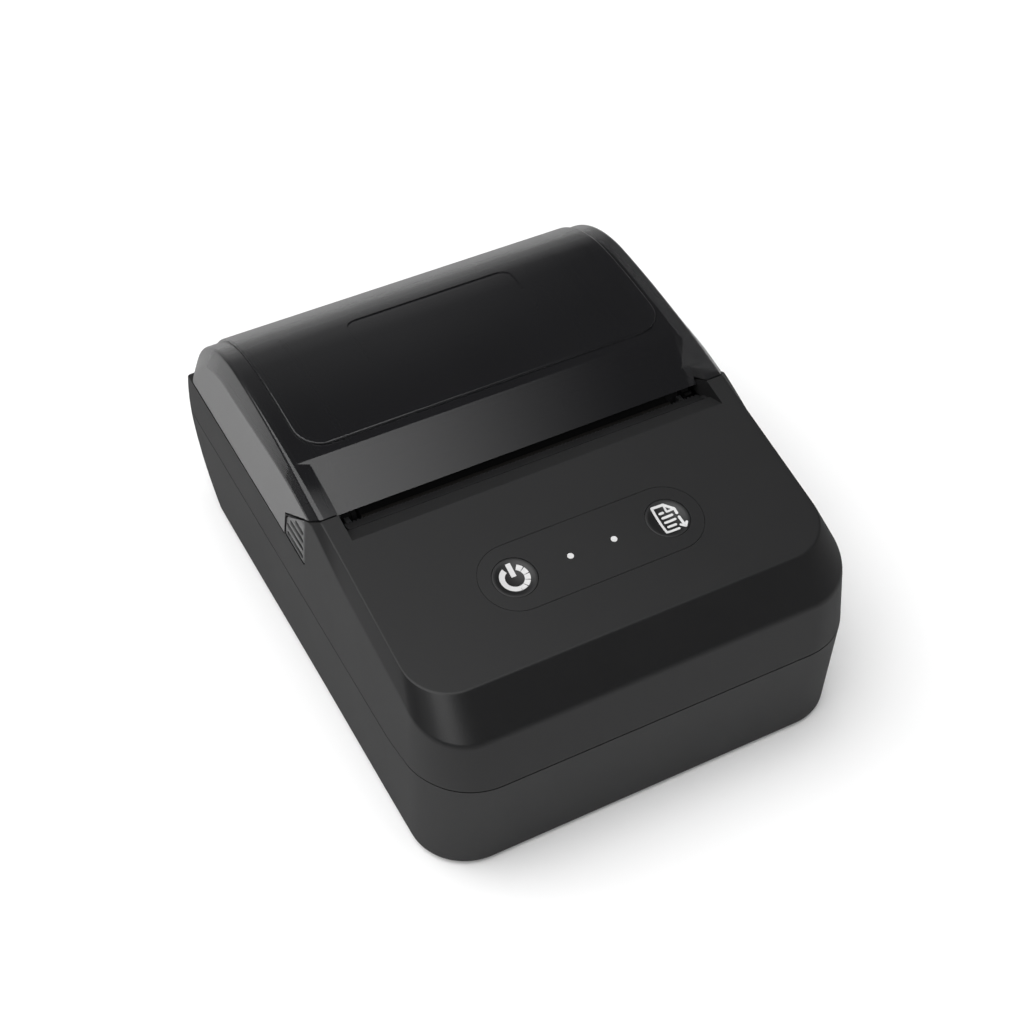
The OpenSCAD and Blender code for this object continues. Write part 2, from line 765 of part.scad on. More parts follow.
module carrier_screws() {
    color(steel)
        both_sides() {
            post(carrier_screw_x, carrier_screw_y, screw_r - 0.05, 56, 61.7);
            post(carrier_screw_x, carrier_screw_y, 2, 55.4, 57 - 0.05);
        }
}

module roll_tray() {
    color([0.09, 0.09, 0.095])
    difference() {
        union() {
            bar_x(tray_y, tray_z, tray_out, -bay_half - tray_t, bay_half + tray_t);
            block([-bay_half - tray_t, tray_y - tray_out - 2.2, 38.8], [bay_half + tray_t, tray_y - tray_in + 6, 40]);
        }
        bar_x(tray_y, tray_z, tray_in, -bay_half, bay_half);
        block([-60, 13, 40], [60, 90, 90]);
        block([-60, 0, 40], [60, 90, 90]);
        block([-3.1, sensor_y - 0.1, 30], [3.1, sensor_y + 2.9, 50]);
    }
}

module paper_sensor() {
    color([0.03, 0.03, 0.03])
        block([-3, sensor_y, 37.4], [3, sensor_y + 2.8, 40.1]);
}

module mechanism_frame() {
    color(steel)
    difference() {
        union() {
            both_sides() {
                translate([(plate_in + plate_out) / 2, 0, 0])
                    across([
                        [-28, frame_foot_z], [7.6, frame_foot_z], [7.6, 52], [-18, 52], [-18, 33], [-28, 31]
                    ], plate_out - plate_in);
                for (y = frame_post_ys)
                    block([frame_post_x - 2.2, y - 2.6, frame_foot_z], [plate_out, y + 2.6, frame_foot_z + 1.2]);
            }
            block([-plate_in - eps, -17.2, 38], [plate_in + eps, -16, 50]);
        }
        both_sides() {
            // open slot that the platen's bush drops into
            translate([plate_in, 0, 0])
                across([
                    [platen_y - bush_r - 0.1, platen_z], [platen_y - bush_r - 0.1, 60], [platen_y + bush_r + 1.8, 60],
                    [platen_y + bush_r + 0.1, platen_z]
                ], 10);
            bar_x(platen_y, platen_z, bush_r + 0.1, plate_in - 2, plate_out + 2);
            bar_x(head_pivot_y, head_pivot_z, 1.5 + run_gap, plate_in - 2, plate_out + 2);
            for (y = frame_post_ys)
                post(frame_post_x, y, screw_r + 0.1, 20, 26);
        }
        bar_x(idler_y, idler_z, 1.5, plate_in - 2, plate_out + 2);
        bar_x(motor_y, motor_z, 3, plate_in - 2, plate_out + 2);
        for (s = [-1, 1])
            bar_x(motor_y + s * 6.4, motor_z, 0.8, plate_in - 2, plate_out + 2);
    }
}

module frame_screws() {
    color(steel)
        both_sides()
            for (y = frame_post_ys) {
                post(frame_post_x, y, 0.75, frame_foot_z - 6, frame_foot_z + 1.3);
                post(frame_post_x, y, 1.9, frame_foot_z + 1.2, frame_foot_z + 2.4);
            }
}

sink_half = 40.4;
sink_top = tear_z - 2.6;
module heat_sink() {
    color(alloy) {
        difference() {
            block([-sink_half, nip_y - head_t - sink_t, head_pivot_z - 2.4], [sink_half, nip_y - head_t, sink_top]);
            for (i = [-6:6])
                block([i * 6 - 1.2, nip_y - head_t - sink_t - 1, 46], [i * 6 + 1.2, nip_y - head_t - sink_t + 1, sink_top + 1]);
        }
        both_sides()
            bar_x(head_pivot_y, head_pivot_z, 1.5, sink_half - 0.5, plate_out - 0.1);
    }
}

module thermal_head() {
    color(pearl)
        block([-sink_half, nip_y - head_t, 42], [sink_half, nip_y, sink_top]);
}

module head_leaf_spring() {
    color(steel)
        across([
            [-16, 40], [-16, 44], [-11.6, 50.4], [-10.9, 50.4], [-11.2, 49.8], [-15.5, 43.8], [-15.5, 40]
        ], 30);
}

module head_flex_cable() {
    color(copper)
        across([
            [-10.5, 40], [-10.5, 36.9], [-12.4, 35.2], [-29.6, 30.2], [-29.6, 29.9], [-12.2, 34.9], [-10.2, 36.8], [-10.2, 40]
        ], 30);
}

module platen_roller() {
    color(rubber)
        difference() {
            bar_x(platen_y, platen_z, platen_r, -platen_len / 2, platen_len / 2);
            bar_x(platen_y, platen_z, shaft_r, -60, 60);
        }
}
module platen_shaft() {
    color(steel)
        bar_x(platen_y, platen_z, shaft_r, -plate_out - 0.2, gear_x + gear_face);
}
module platen_bushes() {
    color(nylon)
        both_sides()
            difference() {
                bar_x(platen_y, platen_z, bush_r, carrier_in + carrier_t + 0.1, plate_out);
                bar_x(platen_y, platen_z, shaft_r + run_gap, 40, 50);
            }
}

// Involute gear on an axis along X: its first tooth points along +Y when turn is 0
pressure = 20;
addendum = 0.76;
dedendum = 1.05;
function involute(base, t) = [base * (cos(t) + t * PI / 180 * sin(t)), base * (sin(t) - t * PI / 180 * cos(t))];
function turned(p, a) = [p[0] * cos(a) - p[1] * sin(a), p[0] * sin(a) + p[1] * cos(a)];
function tooth(n) =
    let (r = gear_m * n / 2,
         base = r * cos(pressure),
         root = r - dedendum * gear_m,
         half = 90 / n - backlash / 2 / r * 180 / PI + (tan(pressure) * 180 / PI - pressure),
         start = max(base, root),
         t0 = sqrt(max(0, pow(start / base, 2) - 1)) * 180 / PI,
         t1 = sqrt(pow((r + addendum * gear_m) / base, 2) - 1) * 180 / PI,
         flank = [for (i = [0:4]) turned(involute(base, t0 + (t1 - t0) * i / 4), -half)],
         low = turned([root, 0], -half - 0.6))
    concat([low], flank, [for (i = [4:-1:0]) [flank[i][0], -flank[i][1]]], [[low[0], -low[1]]]);
module gear(n, y, z, x, turn) {
    points = [for (i = [0:n - 1]) each [for (p = tooth(n)) turned(p, turn + 360 * i / n)]];
    translate([x, y, z])
        rotate([90, 0, 90])
            linear_extrude(gear_face)
                polygon(points);
}
// Each gear is turned so that a tooth of the one faces a gap of the other on their line of centres
platen_turn = idler_dir;
small_turn = idler_dir + 180 + 180 / idler_small_teeth;
large_turn = motor_dir;
pinion_turn = motor_dir + 180 + 180 / pinion_teeth;
module platen_gear() {
    color(nylon)
        difference() {
            gear(platen_teeth, platen_y, platen_z, gear_x, platen_turn);
            bar_x(platen_y, platen_z, shaft_r, 40, 60);
        }
}
module idler_pin() {
    color(steel)
        bar_x(idler_y, idler_z, 1.5, plate_in, wheel_x + gear_face + 0.4);
}
module idler_gear() {
    color(nylon)
        difference() {
            union() {
                gear(idler_small_teeth, idler_y, idler_z, gear_x, small_turn);
                bar_x(idler_y, idler_z, 3, gear_x, wheel_x + gear_face);
                gear(idler_large_teeth, idler_y, idler_z, wheel_x, large_turn);
            }
            bar_x(idler_y, idler_z, 1.5 + run_gap, 40, 60);
            for (a = [0:60:300])
                bar_x(idler_y + 6.6 * cos(a), idler_z + 6.6 * sin(a), 1.6, wheel_x - 1, wheel_x + gear_face + 1);
        }
}
module stepper_motor() {
    color([0.55, 0.56, 0.58]) {
        difference() {
            union() {
                bar_x(motor_y, motor_z, motor_r, plate_in - motor_len, plate_in - 1);
                translate([plate_in - 1, motor_y, motor_z])
                    rotate([90, 0, 90])
                        pill(2 * motor_r + 0.6, 2 * motor_r - 2, 1);
                bar_x(motor_y, motor_z, 2.9, plate_in - 1, plate_out);
            }
            bar_x(motor_y, motor_z, 1 + run_gap, plate_in - 8, 60);
            for (s = [-1, 1])
                bar_x(motor_y + s * 6.4, motor_z, 0.75, plate_in - 4, 60);
        }
    }
}
module motor_screws() {
    color(steel)
        for (s = [-1, 1]) {
            bar_x(motor_y + s * 6.4, motor_z, 0.7, plate_in - 3, plate_out + 0.1);
            bar_x(motor_y + s * 6.4, motor_z, 1.3, plate_out, plate_out + 0.4);
        }
}
module motor_shaft() {
    color(steel)
        bar_x(motor_y, motor_z, 1, plate_in - 7.5, wheel_x + gear_face);
}
module motor_pinion() {
    color([0.80, 0.66, 0.30])
        difference() {
            gear(pinion_teeth, motor_y, motor_z, wheel_x, pinion_turn);
            bar_x(motor_y, motor_z, 1, 40, 60);
        }
}

module tear_bar() {
    count = floor((recess_w - 3) / tooth_pitch);
    run = tooth_pitch * count / 2;
    slope = atan2(plane_z(lip_y) - tear_z, tear_y - lip_y);
    color([0.30, 0.30, 0.32])
        translate([0, tear_y, tear_z])
            rotate([-slope, 0, 0])
                translate([0, 0, -0.62])
                    linear_extrude(0.6)
                        polygon(concat(
                            [for (i = [0:count - 1]) each [
                                [-run + i * tooth_pitch, -tooth_h], [-run + (i + 0.35) * tooth_pitch, 0],
                                [-run + (i + 0.65) * tooth_pitch, 0]
                            ]],
                            [[run, -tooth_h], [run, -3.4], [-run, -3.4]]
                        ));
}

module control_overlay() {
    color([0.08, 0.08, 0.085])
        on_panel()
            difference() {
                translate([0, 0, -overlay_t])
                    pill(panel_len, panel_w, overlay_t);
                for (s = [-1, 1]) {
                    translate([s * button_pitch / 2, 0, -2])
                        cylinder(h = 4, r = button_r + button_gap, $fn = fine);
                    translate([s * light_pitch / 2, 0, -2])
                        cylinder(h = 4, r = light_r + run_gap, $fn = 32);
                }
            }
}

dish_r = (button_r * button_r * 0.8 + dish_depth * dish_depth) / (2 * dish_depth);
flange_top = -wall - 0.35;
plunger_top = -5.6;
module button(side) {
    color([0.10, 0.10, 0.105])
        on_panel()
            translate([side * button_pitch / 2, 0, 0])
                difference() {
                    union() {
                        translate([0, 0, flange_top - 0.8])
                            cylinder(h = 0.8, r = button_r + 0.9, $fn = fine);
                        translate([0, 0, flange_top - eps])
                            cylinder(h = -flange_top, r = button_r, $fn = fine);
                        translate([0, 0, plunger_top])
                            cylinder(h = 3, r = 2.2, $fn = 32);
                    }
                    translate([0, 0, dish_r - dish_depth])
                        sphere(r = dish_r, $fn = fine);
                }
}
module power_button() {
    button(-1);
}
module feed_button() {
    button(1);
}
module plunger(side) {
    color(nylon)
        on_panel()
            translate([side * button_pitch / 2, 0, plunger_top - 1.6])
                cylinder(h = 1.6, r = 1.6, $fn = 32);
}
module power_plunger() {
    plunger(-1);
}
module feed_plunger() {
    plunger(1);
}
module key_switches() {
    switch_top = plunger_top - 0.2 - button_travel;
    color([0.15, 0.15, 0.15])
        on_panel()
            for (s = [-1, 1])
                translate([s * button_pitch / 2, 0, -key_board_depth])
                    difference() {
                        translate([-3, -3, 0])
                            cube([6, 6, key_board_depth + switch_top]);
                        translate([0, 0, 0.4])
                            cylinder(h = 6, r = 1.6 + run_gap, $fn = 32);
                    }
}
module key_board() {
    color(board_green)
        on_panel()
            translate([0, 0, -key_board_depth - board_t])
                difference() {
                    translate([-28, -8.6, 0])
                        cube([56, 17.2, board_t]);
                    for (x = [-25, 25], y = [-6.4, 6.4])
                        translate([x, y, -1])
                            cylinder(h = 4, r = 1.1, $fn = 32);
                }
}
module key_board_screws() {
    color(steel)
        on_panel()
            for (x = [-25, 25], y = [-6.4, 6.4])
                translate([x, y, -key_board_depth - board_t]) {
                    cylinder(h = board_t + 3, r = 0.75, $fn = 32);
                    translate([0, 0, -1])
                        cylinder(h = 1, r = 1.7, $fn = 32);
                }
}
module light_guides() {
    color([0.95, 0.96, 0.96])
        on_panel()
            for (s = [-1, 1])
                translate([s * light_pitch / 2, 0, -key_board_depth + 1.4])
                    cylinder(h = key_board_depth - 1.4, r = light_r, $fn = 32);
}
module status_lights() {
    color([0.95, 0.93, 0.75])
        on_panel()
            for (s = [-1, 1])
                translate([s * light_pitch / 2 - 0.8, -0.8, -key_board_depth])
                    cube([1.6, 1.6, 1.2]);
}
module key_cable() {
    color([0.93, 0.93, 0.92])
        across([
            [-49, 44.2], [-52.4, 43.4], [-53, 42], [-53, 34], [-51.5, 29.6], [-51.2, 29.6], [-52.7, 34],
            [-52.7, 41.8], [-52.2, 43.1], [-49, 43.9]
        ], 10);
}

module main_board() {
    color(board_green)
        difference() {
            union() {
                block([-board_half_x, board_front_y, board_z], [board_half_x, board_back_y, board_z + board_t]);
                block([0, socket_y - 6, board_z], [46.6, socket_y + 6, board_z + board_t]);
            }
            both_sides()
                for (y = board_post_ys)
                    post(board_post_x, y, 1.1, 20, 30);
        }
}
module board_screws() {
    color(steel)
        both_sides()
            for (y = board_post_ys) {
                post(board_post_x, y, 0.75, board_z - 6, board_z + board_t + 0.1);
                post(board_post_x, y, 1.8, board_z + board_t, board_z + board_t + 1.2);
            }
}
socket_outer = 52.2;
module charge_socket() {
    color(steel)
        translate([0, socket_y, socket_z]) {
            difference() {
                translate([socket_outer - 7.4, 0, 0])
                    rotate([90, 0, 90])
                        pill(9, 3.4, 7.4);
                translate([socket_outer - 6.4, 0, 0])
                    rotate([90, 0, 90])
                        pill(8.4, 2.7, 8);
            }
            translate([socket_outer - 6.6, -3.3, -0.35])
                cube([5.4, 6.6, 0.7]);
        }
}
module board_chips() {
    color([0.08, 0.08, 0.08]) {
        block([-8, -46, board_z + board_t], [2, -36, board_z + board_t + 1.2]);
        block([12, -50, board_z + board_t], [19, -44, board_z + board_t + 1.4]);
        block([24, -34, board_z + board_t], [30, -28, board_z + board_t + 1.4]);
    }
}
module radio_module() {
    color(steel)
        block([-32, -48, board_z + board_t], [-18, -34, board_z + board_t + 2]);
}
module board_capacitors() {
    color([0.20, 0.20, 0.28])
        for (x = [10, 19, 28])
            post(x, -39.5, 3, board_z + board_t, board_z + board_t + 8);
}
module board_connectors() {
    color(nylon) {
        block([-16, -31.6, board_z + board_t], [16, -29.6, board_z + board_t + 3.4]);
        block([-5.6, -51.6, board_z + board_t], [5.6, -48.6, board_z + board_t + 2.4]);
        block([32, -31, board_z + board_t], [37, -27, board_z + board_t + 4]);
    }
}
module buzzer() {
    color([0.05, 0.05, 0.05])
        difference() {
            post(-30, -29.5, 4.4, board_z + board_t, board_z + board_t + 4);
            post(-30, -29.5, 0.8, board_z + board_t + 2, board_z + board_t + 6);
        }
}
battery_z = foot_h + door_t + 0.4;
battery_y = (bay_front_y + bay_back_y) / 2;
module battery_pack() {
    color([0.20, 0.22, 0.26])
        difference() {
            block([-battery_w / 2, battery_y - battery_len / 2, battery_z],
                  [battery_w / 2, battery_y + battery_len / 2, battery_z + battery_h]);
            for (x = [-12, 12])
                block([x - 2, battery_y + battery_len / 2 - 1, battery_z + 4], [x + 2, bay_back_y, battery_z + 10]);
        }
}
module battery_contacts() {
    color([0.85, 0.70, 0.35])
        for (x = [-12, 12])
            block([x - 1, battery_y + battery_len / 2 - 0.9, battery_z + 5], [x + 1, bay_back_y, battery_z + 9]);
}
module battery_door() {
    color(black)
        difference() {
            union() {
                block([-bay_half_x + 0.2, bay_front_y + 0.2, foot_h], [bay_half_x - 0.2, bay_back_y - 0.2, foot_h + door_t]);
                both_sides() {
                    block([door_ear_x - 4, door_ear_y - 2.4, foot_h], [door_ear_x + 4, bay_front_y + 1, foot_h + door_t - 0.1]);
                }
            }
            both_sides() {
                post(door_ear_x, door_ear_y, screw_r, 0, 5);
                for (i = [0:4])
                    block([6 + i * 3, bay_back_y - 7, 0], [7.4 + i * 3, bay_back_y - 2, foot_h + 0.4]);
            }
        }
}
module battery_door_screws() {
    color(steel)
        both_sides() {
            post(door_ear_x, door_ear_y, screw_r - 0.25, foot_h - 0.1, 7);
            post(door_ear_x, door_ear_y, screw_head_r - 0.4, 0.2, foot_h - 0.02);
        }
}
module case_screws() {
    color(steel)
        both_sides()
            for (p = [case_screw_front, case_screw_back]) {
                post(p[0], p[1], screw_r - 0.25, 7.9, 35);
                post(p[0], p[1], screw_head_r, 6, 8);
            }
}
module rubber_feet() {
    color(rubber)
        both_sides()
            for (p = foot_places)
                post(p[0], p[1], foot_r, 0, foot_h + 0.55);
}
module cover_switch() {
    color([0.10, 0.10, 0.10])
        union() {
            block([-47.6, -14, 43], [-plate_out, -7, 49]);
            block([-46.6, -9.4, 49 - eps], [-45.4, -8.2, 50.6]);
        }
}

lower_shell();
upper_shell();
paper_cover();
platen_carrier();
hinge_pins();
roll_tray();
mechanism_frame();
heat_sink();
thermal_head();
head_leaf_spring();
head_flex_cable();
platen_shaft();
platen_roller();
platen_bushes();
platen_gear();
idler_pin();
idler_gear();
stepper_motor();
motor_shaft();
motor_pinion();
motor_screws();
tear_bar();
control_overlay();
power_button();
feed_button();
power_plunger();
feed_plunger();
key_board();
key_switches();
light_guides();
status_lights();
key_board_screws();
key_cable();
main_board();
charge_socket();
board_chips();
radio_module();
board_capacitors();
board_connectors();
board_screws();
buzzer();
battery_pack();
battery_contacts();
battery_door();
battery_door_screws();
case_screws();
rubber_feet();
latch_left();
latch_right();
paper_sensor();
cover_switch();
frame_screws();
carrier_screws();
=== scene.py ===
"""A mobile receipt printer: smooth casing, smoky cover, controls and finishes round a fixed CAD frame."""

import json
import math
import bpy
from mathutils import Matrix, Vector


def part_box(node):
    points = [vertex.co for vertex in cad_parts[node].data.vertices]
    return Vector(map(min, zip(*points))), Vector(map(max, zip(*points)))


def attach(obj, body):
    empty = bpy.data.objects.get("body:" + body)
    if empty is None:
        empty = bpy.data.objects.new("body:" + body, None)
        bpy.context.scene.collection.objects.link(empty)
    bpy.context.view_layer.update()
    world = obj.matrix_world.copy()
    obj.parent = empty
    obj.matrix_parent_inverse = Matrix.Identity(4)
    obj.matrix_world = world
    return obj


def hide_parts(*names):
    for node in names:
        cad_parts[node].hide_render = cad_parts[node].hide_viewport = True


bl_info = {
    "name": "Receipt Printer",
    "version": (1, 0, 0),
    "blender": (4, 5, 0),
    "location": "View3D > Sidebar > Printer",
    "description": "Builds the casing, cover, controls, finishes and studio of a mobile receipt printer",
    "category": "Object",
}

from types import SimpleNamespace

import bmesh
import bpy
import numpy as np
from bpy.props import FloatProperty, FloatVectorProperty, IntProperty, PointerProperty
from bpy.types import Operator, Panel, PropertyGroup
from mathutils import Matrix, Vector

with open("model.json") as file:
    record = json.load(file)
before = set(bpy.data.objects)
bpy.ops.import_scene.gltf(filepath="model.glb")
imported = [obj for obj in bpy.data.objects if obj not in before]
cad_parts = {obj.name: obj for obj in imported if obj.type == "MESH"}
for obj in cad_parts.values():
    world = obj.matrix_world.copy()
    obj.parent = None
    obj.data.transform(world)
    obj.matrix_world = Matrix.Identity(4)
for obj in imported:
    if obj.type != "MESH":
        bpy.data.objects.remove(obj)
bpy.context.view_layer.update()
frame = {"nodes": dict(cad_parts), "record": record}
CAD_NODES = frame["nodes"]
SLOT_OF = {part["node"]: part["material_slot"] for part in frame["record"]["subparts"]}
MM = 0.001
MM_PER_METRE = 1000
BEVEL_ANGLE, SHARP_ANGLE = 32, 34
BEYOND = 70
CASING_LOW, CASING_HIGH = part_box("lower_shell")


def length(name, description, default):
    """A size in metres that a user can change."""
    return FloatProperty(name=name, description=description, default=default, unit="LENGTH", precision=5)


def color(name, description, default):
    """A linear colour that a user can change."""
    return FloatVectorProperty(name=name, description=description, default=default, subtype="COLOR", size=3,
                               min=0, max=1)


def amount(name, description, default, **more):
    """A plain number from 0 up that a user can change."""
    return FloatProperty(name=name, description=description, default=default, min=0, **more)


# ---------------------------------------------------------------- sizes and colours


class PrinterCasing(PropertyGroup):
    width: length("Width", "Width of the casing along its seam", CASING_HIGH.x - CASING_LOW.x)
    depth: length("Depth", "Length of the casing from front to back", 0.145)
    wall: length("Wall", "Thickness of the moulded walls", 0.002)
    foot: length("Foot height", "Height that the rubber feet lift the casing", 0.0008)
    top_front: length("Top front height", "Height of the top face at its front edge", 0.051)
    top_tilt: amount("Top tilt", "Slope of the top face", math.radians(9.9), unit="ROTATION")
    corner: length("Corner radius", "Plan radius of the front corners at the seam", 0.0155)
    top_corner: length("Top corner radius", "Plan radius of the top face's front corners", 0.011)
    bevel_run: length("Front bevel run", "Plan width of the front bevel", 0.0118)
    front_drop: length("Front bevel drop", "Height of the front bevel", 0.0069)
    bevel_drop: length("Side bevel drop", "Height of the side bevels", 0.0042)
    arm_bevel_drop: length("Rear bevel drop", "Height of the bevel beside the cover", 0.0016)
    side_bevel: length("Side bevel run", "Plan width of the side bevels", 0.0018)
    side_lean: length("Side lean", "Inward lean of the side walls above the seam", 0.0008)
    front_lean: length("Front lean", "Inward lean of the front wall above the seam", 0.0032)
    base_lean: length("Base lean", "Inward lean of the front wall below the seam", 0.0028)
    waist: length("Waist", "How far the base draws in at mid length", 0.0001)
    seam_front: length("Seam front height", "Height of the seam at the front", 0.0302)
    seam_side: length("Seam side height", "Height of the seam along the sides", 0.0265)
    seam_gap: length("Seam gap", "Width of the groove between the halves", 0.0003)
    barrel: length("Barrel radius", "Outer radius round the paper roll", 0.0353)
    barrel_z: length("Barrel height", "Height of the barrel's axis", 0.0293)
    end_round: length("Barrel end rounding", "Rounding at the ends of the barrel shape", 0.0015)


class PrinterCover(PropertyGroup):
    thickness: length("Thickness", "Thickness of the smoky plastic", 0.002)
    parting: length("Parting height", "Height of the line between the cover's sides and the casing", 0.0394)
    gap: length("Gap", "Gap between cover and casing", 0.0003)
    flat_width: length("Flat width", "Width of the top between the bevelled flanks", 0.1032)
    flank: length("Flank radius", "Radius of the bevel's lower edge round the barrel", 0.030)
    window_width: length("Window width", "Width of the raised window", 0.0946)
    window_raise: length("Window raise", "Height of the window above the cover", 0.0006)
    window_front: length("Window front", "Place of the window's front edge", 0.0088)
    window_edge: length("Window edge", "Rounding of the window's edge", 0.0005)
    window_corner: length("Window corner", "Plan radius of the window's front corners", 0.007)
    label_width: length("Label width", "Width of the label recess", 0.044)
    label_length: length("Label length", "Length of the label recess", 0.0185)
    label_y: length("Label place", "Middle of the label recess", 0.0343)
    label_depth: length("Label depth", "Depth of the label recess", 0.0003)
    recess_width: length("Recess width", "Width of the paper exit", 0.095)
    hinge_radius: length("Hinge radius", "Outer radius of the hinge barrel", 0.0026)


class PrinterControls(PropertyGroup):
    panel_y: length("Panel place", "Middle of the control panel", -0.040)
    panel_length: length("Panel length", "Length of the pill-shaped panel", 0.0552)
    panel_width: length("Panel width", "Width of the pill-shaped panel", 0.0175)
    button_pitch: length("Button pitch", "Distance between the buttons", 0.0386)
    button_radius: length("Button radius", "Radius of each button", 0.0052)
    dish: length("Dish depth", "Depth of the dish in each button", 0.0006)
    light_pitch: length("Light pitch", "Distance between the status lights", 0.011)
    teeth: IntProperty(name="Tear teeth", description="Teeth along the tear bar", default=92)


class PrinterFinish(PropertyGroup):
    casing: color("Casing", "Black casing plastic", (0.0085, 0.0085, 0.0089))
    cover: color("Cover", "Smoky cover plastic", (0.010, 0.010, 0.011))
    overlay: color("Overlay", "Control overlay film", (0.0095, 0.0095, 0.0099))
    button: color("Buttons", "Latch and key plastic", (0.0090, 0.0090, 0.0094))
    print_white: color("Print", "White print and light guides", (0.62, 0.62, 0.62))
    floor: color("Floor", "Pale studio floor", (0.95, 0.95, 0.95))
    cover_alpha: amount("Cover opacity", "How little light the smoky plastic lets through", 0.86, max=1)


class PrinterStudio(PropertyGroup):
    soft_box: amount("Soft box", "Brightness of the soft box", 3.8)
    horizon: amount("Horizon", "Brightness of the light low round the studio", 0.68)
    rear_glow: amount("Rear glow", "Brightness of the wall behind the printer", 0.45)
    room: amount("Room", "Brightness of the room between them", 0.10)
    fill: amount("Fill", "Power of the light behind the camera", 8, unit="POWER")


def in_mm(group):
    """A property group's lengths in millimetres, and its other values as they are."""
    values = {}
    for name, prop in group.bl_rna.properties.items():
        if name in ("rna_type", "name"):
            continue
        value = getattr(group, name)
        values[name] = value * MM_PER_METRE if getattr(prop, "unit", "") == "LENGTH" else value
    return SimpleNamespace(**values)


# ---------------------------------------------------------------- the printer's form, in millimetres


def ease(value):
    """A smooth step from 0 to 1."""
    t = min(1.0, max(0.0, value))
    return t * t * (3 - 2 * t)


def bend(start, corner, end, n):
    """Points along a rounded corner between two points beside it."""
    return [(1 - t) ** 2 * start + 2 * t * (1 - t) * corner + t * t * end for t in np.linspace(0, 1, n)]


def fall(y, z, radius, end_angle=-2.0):
    """A side view's arc from above a centre to behind it, without its first point."""
    angles = np.radians(np.linspace(90, end_angle, 48))[1:]
    return [(y + radius * math.cos(a), z + radius * math.sin(a)) for a in angles]


